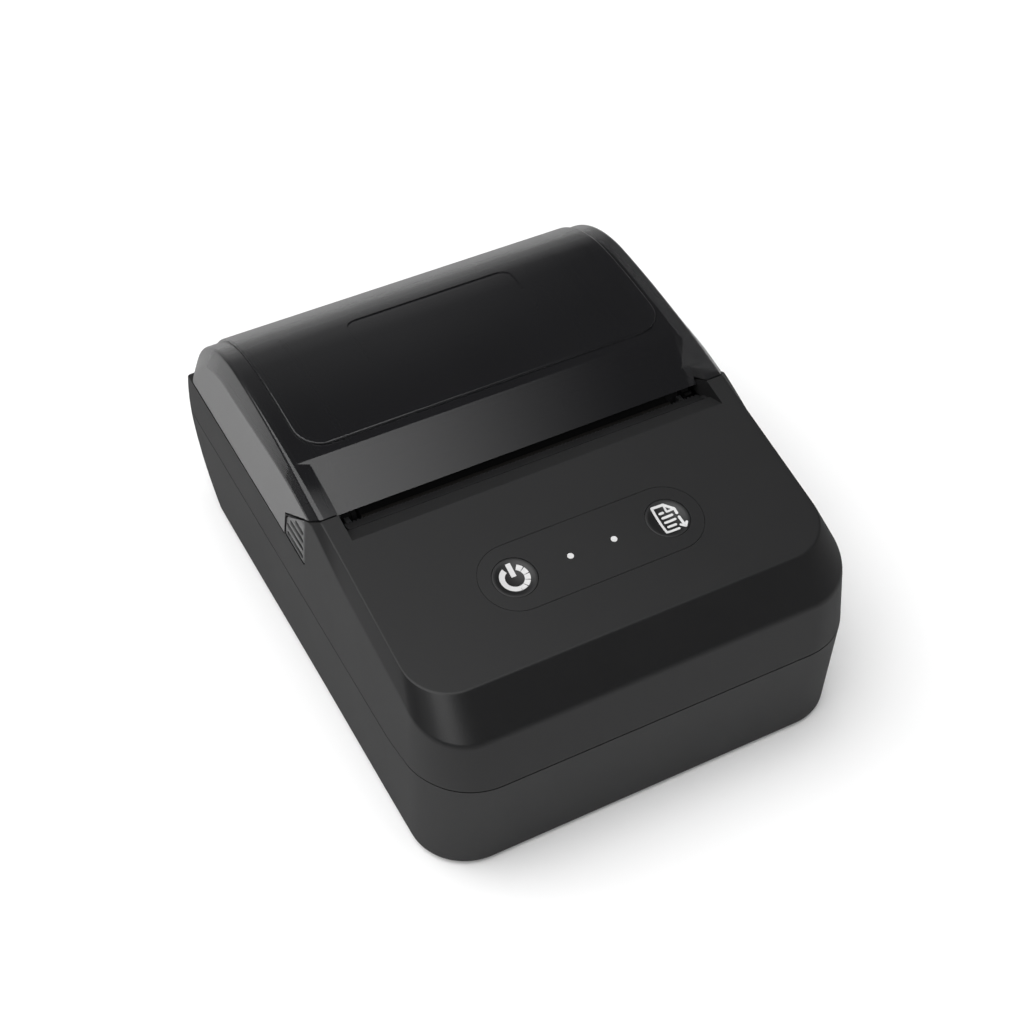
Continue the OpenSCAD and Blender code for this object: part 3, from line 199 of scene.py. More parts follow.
class Form:
    """Curves and surfaces that the casing and the cover share. All lengths are in millimetres."""

    def __init__(self, scene):
        self.c = c = in_mm(scene.printer_casing)
        self.v = in_mm(scene.printer_cover)
        self.k = in_mm(scene.printer_controls)
        self.front_y, self.rear_y = -c.depth / 2, c.depth / 2
        self.slope = math.tan(c.top_tilt)
        self.top_front_y = self.front_y + c.bevel_run
        self.barrel_y = self.rear_y - c.barrel
        self.barrel_top = c.barrel_z + c.barrel
        self.seam_half = c.width / 2
        self.wall_half = self.seam_half - c.side_lean
        self.top_half = self.wall_half - c.side_bevel
        self.base_half = self.seam_half - 0.4
        self.blend_y = 2 * (self.barrel_top - self.plane_z(0)) / self.slope - self.barrel_y
        self.blend_len = self.barrel_y - self.blend_y
        self.cheek_back, cheek_below, self.cheek_drop = 2.8, 0.8, 2.3
        self.cheek_y, self.cheek_z = self.barrel_y + self.cheek_back, c.barrel_z - cheek_below
        hinge_in, hinge_below, panel_top_y = 2.7, 0.8, 5.5
        self.hinge_y, self.hinge_z = self.rear_y - hinge_in, self.v.parting - hinge_below
        self.panel_top = (panel_top_y, self.top_z(panel_top_y))
        self.panel_low = (-6.3, 56.0)
        self.lip_y, self.tear_y, self.tear_z = -17.1, -8.3, 55.2
        self.arm_tip_y = -9.9
        rise_back, rise_front, self.front_part = 28.5, 6.5, 18.5
        self.seam_rise = (self.front_y + rise_back, self.front_y + rise_front)
        self.line_front, self.lean_height = -14.0, 27.5

    def plane_z(self, y):
        return self.c.top_front + self.slope * (y - self.top_front_y)

    def top_z(self, y):
        if y < self.blend_y:
            return self.plane_z(y)
        t = min(y, self.barrel_y) - self.blend_y
        return self.plane_z(self.blend_y) + self.slope * (t - t * t / (2 * self.blend_len))

    def seam_z(self, y):
        back, front = self.seam_rise
        return self.c.seam_side + (self.c.seam_front - self.c.seam_side) * ease((y - back) / (front - back))

    def wall_x(self, z):
        return self.seam_half - self.c.side_lean * (z - self.c.seam_side) / self.lean_height

    def drop(self, y):
        """Height of the bevel round the top face."""
        c, corner_y, edge_y = self.c, self.front_y + self.front_part, self.front_y + self.c.front_lean
        if y < corner_y:
            part = min(1.0, (y - corner_y) / (edge_y - corner_y))
            return c.bevel_drop + (c.front_drop - c.bevel_drop) * part
        fade_start, fade_length = -28, 21
        return c.bevel_drop - (c.bevel_drop - c.arm_bevel_drop) * ease((y - fade_start) / fade_length)

    def waist(self, y):
        middle, reach = -2, 47
        off = y - middle
        return self.c.waist * (1 + math.cos(math.pi * off / reach)) / 2 if abs(off) < reach else 0

    def ring(self, half, front, radius, height, waist=0):
        """Half a plan outline, from the back along the right side and round the corner to the front."""
        arc, straight, across_front = 18, 40, 6
        back = self.rear_y + 8
        points = []
        for i in range(straight):
            y = back + (front + radius - back) * i / straight
            points.append((half - waist * self.waist(y), y, height(y)))
        for i in range(arc + 1):
            a = math.pi / 2 * i / arc
            y = front + radius * (1 - math.sin(a))
            points.append((half - radius * (1 - math.cos(a)), y, height(y)))
        for i in range(1, across_front):
            points.append(((half - radius) * (1 - i / across_front), front, height(front)))
        return points

    def casing_levels(self, d=0.0, rounded=True):
        """The casing's rings from the bottom to the top face, moved outward by d."""
        c, inset = self.c, 5
        base_front, lean = self.front_y + c.base_lean, c.front_lean
        base = lambda y: c.foot - d
        edge = lambda y: self.plane_z(y) - self.drop(y) + d
        top = lambda y: self.plane_z(y) + d
        steps = [
            (self.base_half - inset, base_front + inset, c.corner - inset, base, 1, 0),
            (self.base_half, base_front, c.corner - 2, base, 1, 1.4),
            (self.seam_half, self.front_y, c.corner, self.seam_z, 0, 0.6),
            (self.wall_half, self.front_y + lean, c.corner - lean, edge, 0, 0.9),
            (self.top_half, self.top_front_y, c.top_corner, top, 0, 0.4),
            (self.top_half - inset, self.top_front_y + inset, c.top_corner - inset, top, 0, 0),
        ]
        rings = [self.ring(h + d, f - d, max(1.0, r + d), z, w) for h, f, r, z, w, _ in steps]
        rings = [np.array(r) for r in rings]
        levels = [rings[0]]
        for k in range(1, len(rings) - 1):
            radius = steps[k][5] if rounded else 0
            if radius <= 0:
                levels.append(rings[k])
                continue
            below, here, above = rings[k - 1], rings[k], rings[k + 1]
            down, up = below - here, above - here
            reach = lambda v: v * np.minimum(radius / np.linalg.norm(v, axis=1), 0.45)[:, None]
            levels += bend(here + reach(down), here, here + reach(up), 7)
        levels.append(rings[-1])
        return levels

    def flat_line(self, off):
        """The straight front part of a side view's edge."""
        return [(y, self.plane_z(y) + off) for y in np.linspace(self.line_front, self.blend_y, 6)[:-1]]

    def top_line(self, d=0.0, end_angle=-2.0):
        """The side view's upper edge, from the front to the back of the barrel."""
        points = self.flat_line(d)
        points += [(y, self.top_z(y) + d) for y in np.linspace(self.blend_y, self.barrel_y, 26)]
        return points + fall(self.barrel_y, self.c.barrel_z, self.c.barrel + d, end_angle)

    def cheek_line(self, d=0.0):
        """The lower edge of the cover's bevelled flank, one point for each point of top_line."""
        points = self.flat_line(d - self.cheek_drop)
        z0, z1 = self.plane_z(self.blend_y) - self.cheek_drop, self.cheek_z + self.v.flank
        for t in np.linspace(0, 1, 26):
            y = self.blend_y + self.blend_len * t + self.cheek_back * ease(t)
            rise = (t ** 3 - 2 * t * t + t) * self.slope * self.blend_len
            points.append((y, z0 + (z1 - z0) * ease(t) + rise + d))
        return points + fall(self.cheek_y, self.cheek_z, self.v.flank + d)

    def cover_side(self, g):
        """The region of the side view that belongs to the cover, drawn back by g."""
        return [
            (self.arm_tip_y + g, 110), (self.arm_tip_y + g, self.plane_z(self.arm_tip_y) + g - 0.2),
            (-5.3 + g, 56.8 + g), (7.3 + g, 47.6 + g), (8.9 + g, self.v.parting + g),
            (self.rear_y + 12, self.v.parting + g), (self.rear_y + 12, 110),
        ]


# ---------------------------------------------------------------- mesh helpers


def moved(x, y, z):
    return Matrix.Translation(Vector((x, y, z)) * MM)


def turned(angle, axis):
    return Matrix.Rotation(angle, 4, axis)


def new_object(name, vertices, faces):
    """An object from points in millimetres."""
    mesh = bpy.data.meshes.new(name)
    mesh.from_pydata([Vector(v) * MM for v in vertices], [], faces)
    mesh.validate()
    obj = bpy.data.objects.new(name, mesh)
    bpy.context.scene.collection.objects.link(obj)
    bm = bmesh.new()
    bm.from_mesh(mesh)
    bmesh.ops.remove_doubles(bm, verts=bm.verts, dist=1e-7)
    bmesh.ops.recalc_face_normals(bm, faces=bm.faces)
    bm.to_mesh(mesh)
    bm.free()
    return obj


def loops_solid(name, loops):
    """A closed solid through loops of points that have the same number of points."""
    n = len(loops[0])
    vertices = [tuple(p) for loop in loops for p in loop]
    faces = [tuple(range(n - 1, -1, -1)), tuple((len(loops) - 1) * n + i for i in range(n))]
    for j in range(len(loops) - 1):
        for i in range(n):
            a, b = j * n + i, j * n + (i + 1) % n
            faces.append((a, b, b + n, a + n))
    return new_object(name, vertices, faces)


def across(name, points, low, high):
    """A side view given as (y, z) points, as a solid from x low to x high."""
    return loops_solid(name, [[(low, y, z) for y, z in points], [(high, y, z) for y, z in points]])


def through(name, points):
    """A side view as a solid that is wider than the printer."""
    return across(name, points, -BEYOND, BEYOND)


def upright(name, points, low, high):
    """A plan given as (x, y) points, as a solid from z low to z high."""
    return loops_solid(name, [[(x, y, low) for x, y in points], [(x, y, high) for x, y in points]])


def box(name, low, high):
    """A box between two corners."""
    plan = [(low[0], low[1]), (high[0], low[1]), (high[0], high[1]), (low[0], high[1])]
    return upright(name, plan, low[2], high[2])


def circle(cx, cy, radius, n=64):
    angles = [2 * math.pi * i / n for i in range(n)]
    return [(cx + radius * math.cos(a), cy + radius * math.sin(a)) for a in angles]


def rounded_plan(half_x, low_y, high_y, radius, n=10):
    """A rounded rectangle, symmetric about x = 0."""
    corners = [(half_x - radius, high_y - radius, 0), (-half_x + radius, high_y - radius, 90),
               (-half_x + radius, low_y + radius, 180), (half_x - radius, low_y + radius, 270)]
    points = []
    for cx, cy, start in corners:
        for i in range(n + 1):
            a = math.radians(start + 90 * i / n)
            points.append((cx + radius * math.cos(a), cy + radius * math.sin(a)))
    return points


def rod_x(name, y, z, radius, low, high, n=48):
    """A round bar along X."""
    return across(name, circle(y, z, radius, n), low, high)


def mirrored(obj):
    """A copy on the other side of the printer's middle plane."""
    twin = obj.copy()
    twin.data = obj.data.copy()
    bpy.context.scene.collection.objects.link(twin)
    twin.data.transform(Matrix.Scale(-1, 4, (1, 0, 0)))
    twin.data.flip_normals()
    return twin


def apply_modifiers(obj):
    depsgraph = bpy.context.evaluated_depsgraph_get()
    mesh = bpy.data.meshes.new_from_object(obj.evaluated_get(depsgraph))
    old = obj.data
    obj.modifiers.clear()
    obj.data = mesh
    if old.users == 0:
        bpy.data.meshes.remove(old)


def combine(obj, others, operation):
    """A solid operation of obj with each of the others, which are then removed."""
    for other in others:
        m = obj.modifiers.new("solid", "BOOLEAN")
        m.operation, m.object, m.solver = operation, other, "EXACT"
        bpy.context.view_layer.update()
        apply_modifiers(obj)
        bpy.data.objects.remove(other)
    return obj


def cut(obj, *others):
    return combine(obj, others, "DIFFERENCE")


def add(obj, *others):
    return combine(obj, others, "UNION")


def keep(obj, *others):
    return combine(obj, others, "INTERSECT")


def clean(obj, width=0.0):
    """Cleans a piece after its solid operations, rounds its crisp edges and sets smooth shading."""
    bm = bmesh.new()
    bm.from_mesh(obj.data)
    bmesh.ops.remove_doubles(bm, verts=bm.verts, dist=2e-6)
    bmesh.ops.dissolve_degenerate(bm, edges=bm.edges, dist=2e-6)
    bm.to_mesh(obj.data)
    bm.free()
    if width:
        m = obj.modifiers.new("edges", "BEVEL")
        m.width, m.segments, m.limit_method = width * MM, 2, "ANGLE"
        m.angle_limit, m.use_clamp_overlap, m.miter_outer = math.radians(BEVEL_ANGLE), True, "MITER_ARC"
        m.harden_normals = False
        bpy.context.view_layer.update()
        apply_modifiers(obj)
    obj.data.shade_smooth()
    obj.data.set_sharp_from_angle(angle=math.radians(SHARP_ANGLE))
    m = obj.modifiers.new("normals", "WEIGHTED_NORMAL")
    m.keep_sharp, m.weight = True, 60
    bpy.context.view_layer.update()
    apply_modifiers(obj)
    return obj


def dress(obj, body, material, nodes=()):
    """Puts a piece on its body, gives it its finish and hides the CAD nodes that it stands for."""
    obj.data.materials.clear()
    obj.data.materials.append(material)
    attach(obj, body)
    if nodes:
        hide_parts(*nodes)
    return obj


# ---------------------------------------------------------------- the printer's solids


def whole_loop(half):
    """A ring from its right half."""
    return [tuple(p) for p in half] + [(-p[0], p[1], p[2]) for p in half[::-1]]


def side_prism(form, d):
    """Everything under the top line, with rounded ends."""
    end_round, out = form.c.end_round, form.seam_half + 0.3 + d
    stations = []
    for a in np.linspace(0, math.pi / 2, 8):
        stations.append((out - end_round * (1 - math.sin(a)), d - end_round * (1 - math.cos(a))))
    loops = []
    for x, off in [(-x, off) for x, off in stations[::-1]] + stations:
        line = form.top_line(off, end_angle=-55)[5:]
        clear = [(y, form.plane_z(y) + off + 3) for y in (form.front_y - 20, form.blend_y - 6)]
        low = [(form.front_y - 20, -3)] + clear
        loops.append([(x, y, z) for y, z in low + line + [(line[-1][0] - 2, -3)]])
    return loops_solid("side prism", loops)


def casing_solid(form, d=0.0, name="casing"):
    """The casing's outer form, moved outward by d."""
    body = loops_solid(name, [whole_loop(level) for level in form.casing_levels(d, d == 0)])
    return keep(body, side_prism(form, d))


def cover_solid(form, d=0.0, name="cover"):
    """The cover's outer form with its bevelled flanks, moved outward by d."""
    loops = []
    for top, cheek in zip(form.top_line(d), form.cheek_line(d)):
        flat = np.array([form.v.flat_width / 2 + d, *top])
        edge = np.array([form.wall_x(cheek[1]) + d, *cheek])
        deep = np.array([form.wall_x(form.cheek_z) + d, min(cheek[0], form.cheek_y), form.cheek_z])
        middle = np.array([0, *top])
        half = [deep]
        for low, here, high, radius in ((deep, edge, flat, 0.5), (edge, flat, middle, 0.8)):
            radius = radius if d == 0 else 0.3
            sides = [v * min(0.45, radius / np.linalg.norm(v)) for v in (low - here, high - here)]
            half += bend(here + sides[0], here, here + sides[1], 6)
        loops.append(whole_loop(half))
    return loops_solid(name, loops)


def under_seam(form, gap):
    """Everything below the seam, lifted by gap."""
    front, back = form.front_y - 10, form.rear_y + 9
    ys = [front, *np.linspace(form.seam_rise[1], form.seam_rise[0], 25), back]
    line = [(y, form.seam_z(y) + gap) for y in ys]
    return through("under seam", [(back, -10), (front, -10)] + line)


def cover_room(form, g):
    """The cover's share of the printer, drawn back by g."""
    return through("cover side", form.cover_side(g))


def on_panel(form, obj):
    """Moves a piece made flat at the origin onto the middle of the sloping control panel."""
    y = form.k.panel_y
    obj.data.transform(moved(0, y, form.plane_z(y)) @ turned(form.c.top_tilt, "X"))
    return obj


def pill(half_length, half_width, n=24):
    """A plan with two round ends."""
    points = []
    for side, start in ((1, -90), (-1, 90)):
        middle = side * (half_length - half_width)
        for a in np.radians(np.linspace(start, start + 180, n + 1)):
            points.append((middle + half_width * math.cos(a), half_width * math.sin(a)))
    return points


def post(x, y, radius, low, high, n=40):
    """An upright round bar."""
    return upright("post", circle(x, y, radius, n), low, high)


def both(obj):
    """A piece and its twin on the other side."""
    return [obj, mirrored(obj)]


def make_lower_shell(form):
    """The base: outer walls, floor, screw towers, battery bay, socket hole and pockets for the feet."""
    c, foot = form.c, form.c.foot
    floor_z = foot + c.wall
    root = floor_z - 0.3
    shell = keep(casing_solid(form, name="lower_shell"), under_seam(form, -c.seam_gap / 2))
    cut(shell, casing_solid(form, -c.wall, "inside"))
    front, back, bay = (42, -58), (47.6, 48), (-62, -22)
    bay_half, door_screw = 37, (30, bay[0] - 2.4)
    bars = [(*front, 3.4, c.seam_front - 0.4), (*back, 3.2, c.seam_side - 0.4), (*door_screw, 2.6, 9)]
    bars += [(40.2, y, 2.1, 25.5) for y in (-50, -34)] + [(40.8, y, 2.2, 22) for y in (-24.6, 4.6)]
    inner = []
    for x, y, radius, top in bars:
        inner += both(post(x, y, radius, root, top))
    inner += both(box("cradle", (14, 27.5, root), (15.2, 45.5, 4.6)))
    add(shell, *inner)
    wall = box("bay", (-bay_half - 1.2, bay[0] - 1.2, root), (bay_half + 1.2, bay[1] + 1.2, 23.5))
    add(shell, cut(wall, box("bay room", (-bay_half, bay[0], 0), (bay_half, bay[1], 26))))
    holes = [box("door opening", (-bay_half, bay[0], -1), (bay_half, bay[1], floor_z + 1))]
    holes += both(box("ear", (25.8, bay[0] - 5, -1), (34.2, bay[0] + 1, foot + 1.6)))
    holes += both(post(*door_screw, 1, 0, 8))
    for x, y in (front, back):
        holes += both(post(x, y, 1.35, 0, 32)) + both(post(x, y, 2.7, -1, 8))
    for x, y in ((42.6, -50), (43, 42)):
        holes += both(post(x, y, 5.1, -1, foot + 0.6))
    cut(shell, *holes)
    socket = upright("socket hole", pill(4.8, 2), -10, 10)
    socket.data.transform(moved(55, -39, 23.7) @ turned(math.pi / 2, "Z") @ turned(math.pi / 2, "X"))
    cut(shell, socket)
    return clean(shell, 0.22)


def make_upper_shell(form):
    """The top: control face, paper slot, bevelled arms, latch windows and the hinge barrel."""
    c, k, v = form.c, form.k, form.v
    recess = v.recess_width / 2
    shell = cut(casing_solid(form, name="upper_shell"), under_seam(form, c.seam_gap / 2))
    cut(shell, casing_solid(form, -c.wall, "inside"))
    cut(shell, cover_room(form, 0), box("slot", (-recess, form.lip_y, 50), (recess, 20, 90)))
    lip, tear = form.lip_y, form.tear_y
    rise = (form.plane_z(lip) - form.tear_z) / (tear - lip)
    slope = [(lip - 1.5, form.plane_z(lip - 1.5) - 0.2), (lip, form.plane_z(lip) - 0.2),
             (tear - 3.6, form.tear_z + 3.6 * rise - 0.2), (tear - 3.6, form.tear_z + 3.6 * rise - 0.75),
             (tear - 1, form.tear_z + rise - 0.75), (tear - 1, form.tear_z - 2.3),
             (lip - 1.5, form.plane_z(lip) - 2.6)]
    tip = form.arm_tip_y
    end = [(lip - 1, 53), (lip - 1, form.plane_z(lip - 1) - 0.3), (tip, form.plane_z(tip) - 0.3),
           (tip + 0.1, form.plane_z(tip) - 0.6), (-5.4, 56.5), (-4, 55.5), (-4, 53)]
    parts = [across("slope", slope, -recess - 1, recess + 1)]
    parts += both(across("slot end", end, recess, recess + 1.2))
    reach, hinge = form.seam_half - 4, (form.hinge_y, form.hinge_z)
    parts.append(rod_x("hinge barrel", *hinge, v.hinge_radius, -reach, reach))
    parts += both(post(42, -58, 3.2, c.seam_front, 49))
    parts += both(post(47.6, 48, 3, form.seam_z(48) + 0.4, v.parting - 1))
    parts += both(box("web", (49.6, 47, 31.5), (form.seam_half - 1.2, 49, v.parting - 1)))
    for x in (-25, 25):
        for y in (-6.4, 6.4):
            parts.append(on_panel(form, post(x, y, 2, -9, -1.7)))
    add(shell, *parts)
    plan = pill(k.panel_length / 2 + 0.1, k.panel_width / 2 + 0.1)
    holes = [on_panel(form, upright("pocket", plan, -0.4, 4.6))]
    for s in (-1, 1):
        holes.append(on_panel(form, post(s * k.button_pitch / 2, 0, 5.3, -5, 5, 64)))
        holes.append(on_panel(form, post(s * k.light_pitch / 2, 0, 0.8, -5, 5)))
    gap = v.gap
    holes += both(rod_x("knuckle room", *hinge, v.hinge_radius + gap, 28 - gap, 40 + gap))
    holes += both(across("latch window", latch_outline(0.35), 45, 75))
    cut(shell, *holes)
    return clean(shell, 0.22)


def latch_outline(g):
    """Side view of a latch button with rounded corners, grown by g."""
    corners = [(-4.8, 56.2), (6.9, 47.1), (8.5, 40.2), (-2.6, 39.9)]
    rounds = (0.6, 1.3, 0.9, 1.3)
    points = []
    for i, radius in enumerate(rounds):
        here = np.array(corners[i])
        before, after = np.array(corners[i - 1]) - here, np.array(corners[(i + 1) % 4]) - here
        before, after = before / np.linalg.norm(before), after / np.linalg.norm(after)
        points += bend(here + before * radius, here, here + after * radius, 7)
    if g:
        middle = np.mean(points, axis=0)
        ahead = [points[(i + 1) % len(points)] - points[i - 1] for i in range(len(points))]
        sides = [np.array([v[1], -v[0]]) / np.linalg.norm(v) for v in ahead]
        points = [p + g * s * (1 if s @ (p - middle) > 0 else -1) for p, s in zip(points, sides)]
    return [tuple(p) for p in points]


def window_solid(form):
    """The raised window: a band along the top line with round front corners and rounded edges."""
    v, edge = form.v, form.v.window_edge
    front, corner = v.window_front, v.window_corner
    turn = np.linspace(0, math.pi / 2, 15)
    ys = sorted({*(front + edge * (1 - np.cos(turn[::2]))), *(front + corner * (1 - np.cos(turn)))})
    spots = [(y, form.top_z(y), 0, 1) for y in ys]
    spots += [(y, form.top_z(y), 0, 1) for y in np.linspace(front + corner + 1, form.barrel_y, 16)]
    for y, z in fall(form.barrel_y, form.c.barrel_z, form.c.barrel):
        spots.append((y, z, (y - form.barrel_y) / form.c.barrel, (z - form.c.barrel_z) / form.c.barrel))
    loops = []
    for y, z, ny, nz in spots:
        in_corner, in_edge = max(0.0, 1 - (y - front) / corner), max(0.0, 1 - (y - front) / edge)
        half = v.window_width / 2 - corner * (1 - math.sqrt(1 - in_corner ** 2))
        top = v.window_raise - edge * (1 - math.sqrt(1 - in_edge ** 2))
        side = [(half, -v.thickness / 2)]
        side += [(half - edge * (1 - math.cos(b)), top - edge * (1 - math.sin(b))) for b in turn[::2]]
        section = side + [(-x, off) for x, off in side[::-1]]
        loops.append([(x, y + ny * off, z + nz * off) for x, off in section])
    return loops_solid("window", loops)


def make_cover(form):
    """The smoky paper cover with its raised window, label recess, ribs, catches and hinge knuckles."""
    v = form.v
    cover = cover_solid(form, name="paper_cover")
    core = keep(cover_solid(form, -v.thickness, "cover inside"), box("bay", (-60, 7.5, -1), (60, 90, 90)))
    cut(cover, core)
    (ty, tz), (ly, lz), t = form.panel_top, form.panel_low, v.thickness
    recess = v.recess_width / 2
    between_arms = [(ly, lz - t - 0.2), (ly, 90), (ty, 90), (ty, tz - t - 0.2)]
    panel_half = recess - v.gap
    keep(cover, add(cover_room(form, v.gap), across("exit panel", between_arms, -panel_half, panel_half)))
    slot = [(-30, 100), (ty, 100), (ty, tz), (ly, lz), (ly + 1.9, lz - t), (ly + 1.9, 30), (-30, 30)]
    cut(cover, across("slot", slot, -recess, recess))
    below = [(-30, 30), (-30, lz - t), (ly, lz - t), (ty, tz - t), (ty + 3, tz - t), (ty + 3, 30)]
    cut(cover, across("below", below, 1.5 - recess, recess - 1.5))
    add(cover, keep(window_solid(form), cover_room(form, v.gap)))
    extra = []
    for x in (36.5, 45):
        band = list(zip(form.top_line(-t - 2), form.top_line(-t + 0.2)))
        left, right = x - 0.6, x + 0.6
        rib = loops_solid("rib", [[(left, *a), (left, *b), (right, *b), (right, *a)] for a, b in band])
        extra += both(keep(rib, box("rib room", (x - 2, 9.5, 50), (x + 2, 50, 80))))
    catch = box("catch", (50.6, 10.3, 45.6), (53.4, 13.6, 48.4))
    hinge, room = (form.hinge_y, form.hinge_z), v.hinge_radius + v.gap
    knuckle = rod_x("knuckle", *hinge, v.hinge_radius, 28, 40)
    leaf = box("leaf", (28, form.hinge_y - 1.4, form.hinge_z), (40, form.rear_y - 1.2, form.hinge_z + 5))
    extra += both(catch) + both(knuckle) + both(leaf)
    add(cover, *extra)
    loops = []
    for low, high in zip(form.top_line(v.window_raise - v.label_depth), form.top_line(v.window_raise + 3)):
        loops.append([(-40, *low), (-40, *high), (40, *high), (40, *low)])
    label = loops_solid("label", loops)
    low_y, high_y = v.label_y - v.label_length / 2, v.label_y + v.label_length / 2
    keep(label, upright("label plan", rounded_plan(v.label_width / 2, low_y, high_y, 3), 40, 90))
    holes = [label, rod_x("barrel room", *hinge, room, v.gap - 28, 28 - v.gap)]
    holes += both(rod_x("barrel room", *hinge, room, 40 + v.gap, 80))
    holes += both(rod_x("pin hole", *hinge, 1.05, 27, 41))
    gear = [(-7.4, 40.6), (-7.4, 52.2), (-3, 55.5), (2.6, 56.1), (6.2, 53.2), (7.3, 51.2), (7.3, 40.6)]
    holes += both(across("gear room", gear, recess - 1.7, recess - 0.3))
    holes += both(post(30, 11.2, 1.2, 58, 61.8))
    cut(cover, *holes)
    return clean(cover, 0.25)


def make_latch(form):
    """One push latch with its grip grooves, flange, spring arm and hook."""
    sunk, low, high = 0.1, 30, 60
    body = across("latch_right", latch_outline(0), 51, 66)
    lean = [(51, low), (form.wall_x(low) - sunk, low), (form.wall_x(high) - sunk, high), (51, high)]
    keep(body, loops_solid("lean", [[(x, y, z) for x, z in lean] for y in (-30, 30)]))
    grooves, radius = [], 0.7
    for i, (front, back) in enumerate(((-1.7, 7.3), (-2.1, 7.1), (-2.5, 4.9), (-2.9, 1.6))):
        z = form.v.parting + 2.2 + 2.9 * i
        points = []
        for end, way in ((front, 1), (back, -1)):
            for a in np.linspace(0, math.pi, 9):
                points.append((end + way * radius * (1 - math.sin(a)), z + way * radius * math.cos(a)))
        grooves.append(across("groove", points, form.wall_half - 1.5, 60))
    flange = keep(across("flange", latch_outline(0.6), 50.4, 51.2),
                  box("flange room", (45, -20, 30), (60, 9.5, 54.5)))
    arms = [flange, box("arm", (50.4, 8.4, 41), (51.2, 13.6, 44)),
            box("arm", (48.2, 10.3, 41), (50.7, 13.6, 44)), box("hook", (48.2, 10.3, 41), (49.6, 13.6, 51)),
            box("hook", (49.4, 10.3, 49.6), (50.2, 13.6, 51))]
    add(body, *arms)
    cut(body, *grooves)
    return clean(body, 0.25)


def dish_z(form, r):
    """Height of a button's dished face at a distance from its middle."""
    edge = form.k.button_radius - 0.75
    return -form.k.dish * (1 - (r / edge) ** 2) if r < edge else 0.0


def make_button(form, name, x):
    """A round dished button with its skirt and flange, turned about its own axis."""
    radius, soft = form.k.button_radius - 0.04, 0.12
    flange, flange_top, flange_low = 6.0, -2.35, -3.15
    profile = [(edge, dish_z(form, edge)) for edge in np.linspace(0, radius - 0.7, 14)]
    profile.append((radius - soft, 0.0))
    for a in np.linspace(0.3, math.pi / 2, 5):
        profile.append((radius - soft + soft * math.sin(a), soft * math.cos(a) - soft))
    profile += [(radius, flange_top), (flange, flange_top), (flange, flange_low), (0, flange_low)]
    n = 72
    vertices = [(0, 0, profile[0][1])]
    for r, z in profile[1:-1]:
        vertices += [(px, py, z) for px, py in circle(0, 0, r, n)]
    vertices.append((0, 0, profile[-1][1]))
    faces = [(0, 1 + i, 1 + (i + 1) % n) for i in range(n)]
    rows = len(profile) - 2
    for j in range(rows - 1):
        for i in range(n):
            a, b = 1 + j * n + i, 1 + j * n + (i + 1) % n
            faces.append((a, a + n, b + n, b))
    last = 1 + (rows - 1) * n
    faces += [(len(vertices) - 1, last + (i + 1) % n, last + i) for i in range(n)]
    button = new_object(name, vertices, faces)
    button.data.transform(moved(x, 0, 0))
    return clean(on_panel(form, button))


def stroke(form, points, width, square=False):
    """A printed line with round or square ends, as quads that follow the button's dish."""
    points = [np.array(p, float) for p in points]
    step, half = 0.12, width / 2
    path = []
    for a, b in zip(points, points[1:]):
        n = max(1, int(np.linalg.norm(b - a) / step))
        path += [a + (b - a) * i / n for i in range(n)]
    path.append(points[-1])
    first, last = path[1] - path[0], path[-1] - path[-2]
    first, last = first / np.linalg.norm(first), last / np.linalg.norm(last)
    if not square:
        ends = [half * math.cos(a) for a in np.linspace(0.25, math.pi / 2, 4)][:-1]
        path = [path[0] - first * e for e in ends] + path + [path[-1] + last * e for e in ends[::-1]]
    rows = []
    for i, p in enumerate(path):
        ahead = path[min(i + 1, len(path) - 1)] - path[max(i - 1, 0)]
        normal = np.array([-ahead[1], ahead[0]]) / np.linalg.norm(ahead)
        reach = half
        if not square:
            past = min(i, len(path) - 1 - i)
            reach = half * math.sin([0.25, 0.69, 1.13][past]) if past < 3 else half
        rows.append([p + normal * reach * s for s in (-1, 0, 1)])
    vertices = [(q[0], q[1], dish_z(form, np.linalg.norm(q)) + 0.03) for row in rows for q in row]
    faces = []
    for j in range(len(rows) - 1):
        for i in range(2):
            a = 3 * j + i
            faces.append((a, a + 1, a + 4, a + 3))
    return vertices, faces


def arc(radius, start, end):
    """Points round a circle, from one angle to another in degrees."""
    n = max(2, int(abs(end - start) / 4))
    return [(radius * math.cos(a), radius * math.sin(a)) for a in np.radians(np.linspace(start, end, n + 1))]


def make_symbol(form, name, x, strokes):
    """A white symbol printed on a button."""
    vertices, faces = [], []
    for line in strokes:
        more, quads = stroke(form, *line)
        faces += [tuple(len(vertices) + i for i in quad) for quad in quads]
        vertices += more
    symbol = new_object(name, vertices, faces)
    m = symbol.modifiers.new("ink", "SOLIDIFY")
    m.thickness, m.offset = 0.06 * MM, -1
    bpy.context.view_layer.update()
    apply_modifiers(symbol)
    symbol.data.transform(moved(x, 0, 0))
    symbol.data.shade_smooth()
    symbol.data.set_sharp_from_angle(angle=math.radians(30))
    return on_panel(form, symbol)


def power_strokes():
    """A broken ring with a bar."""
    ring, width = 2.85, 1.3
    lines = [(arc(ring, 117, 271), width, True), ([(0.1, 0.5), (0.1, 3.9)], 1.2, True)]
    return lines + [(arc(ring, start, start + 26.5), width, True) for start in (-88, -58, -28, 2, 32)]


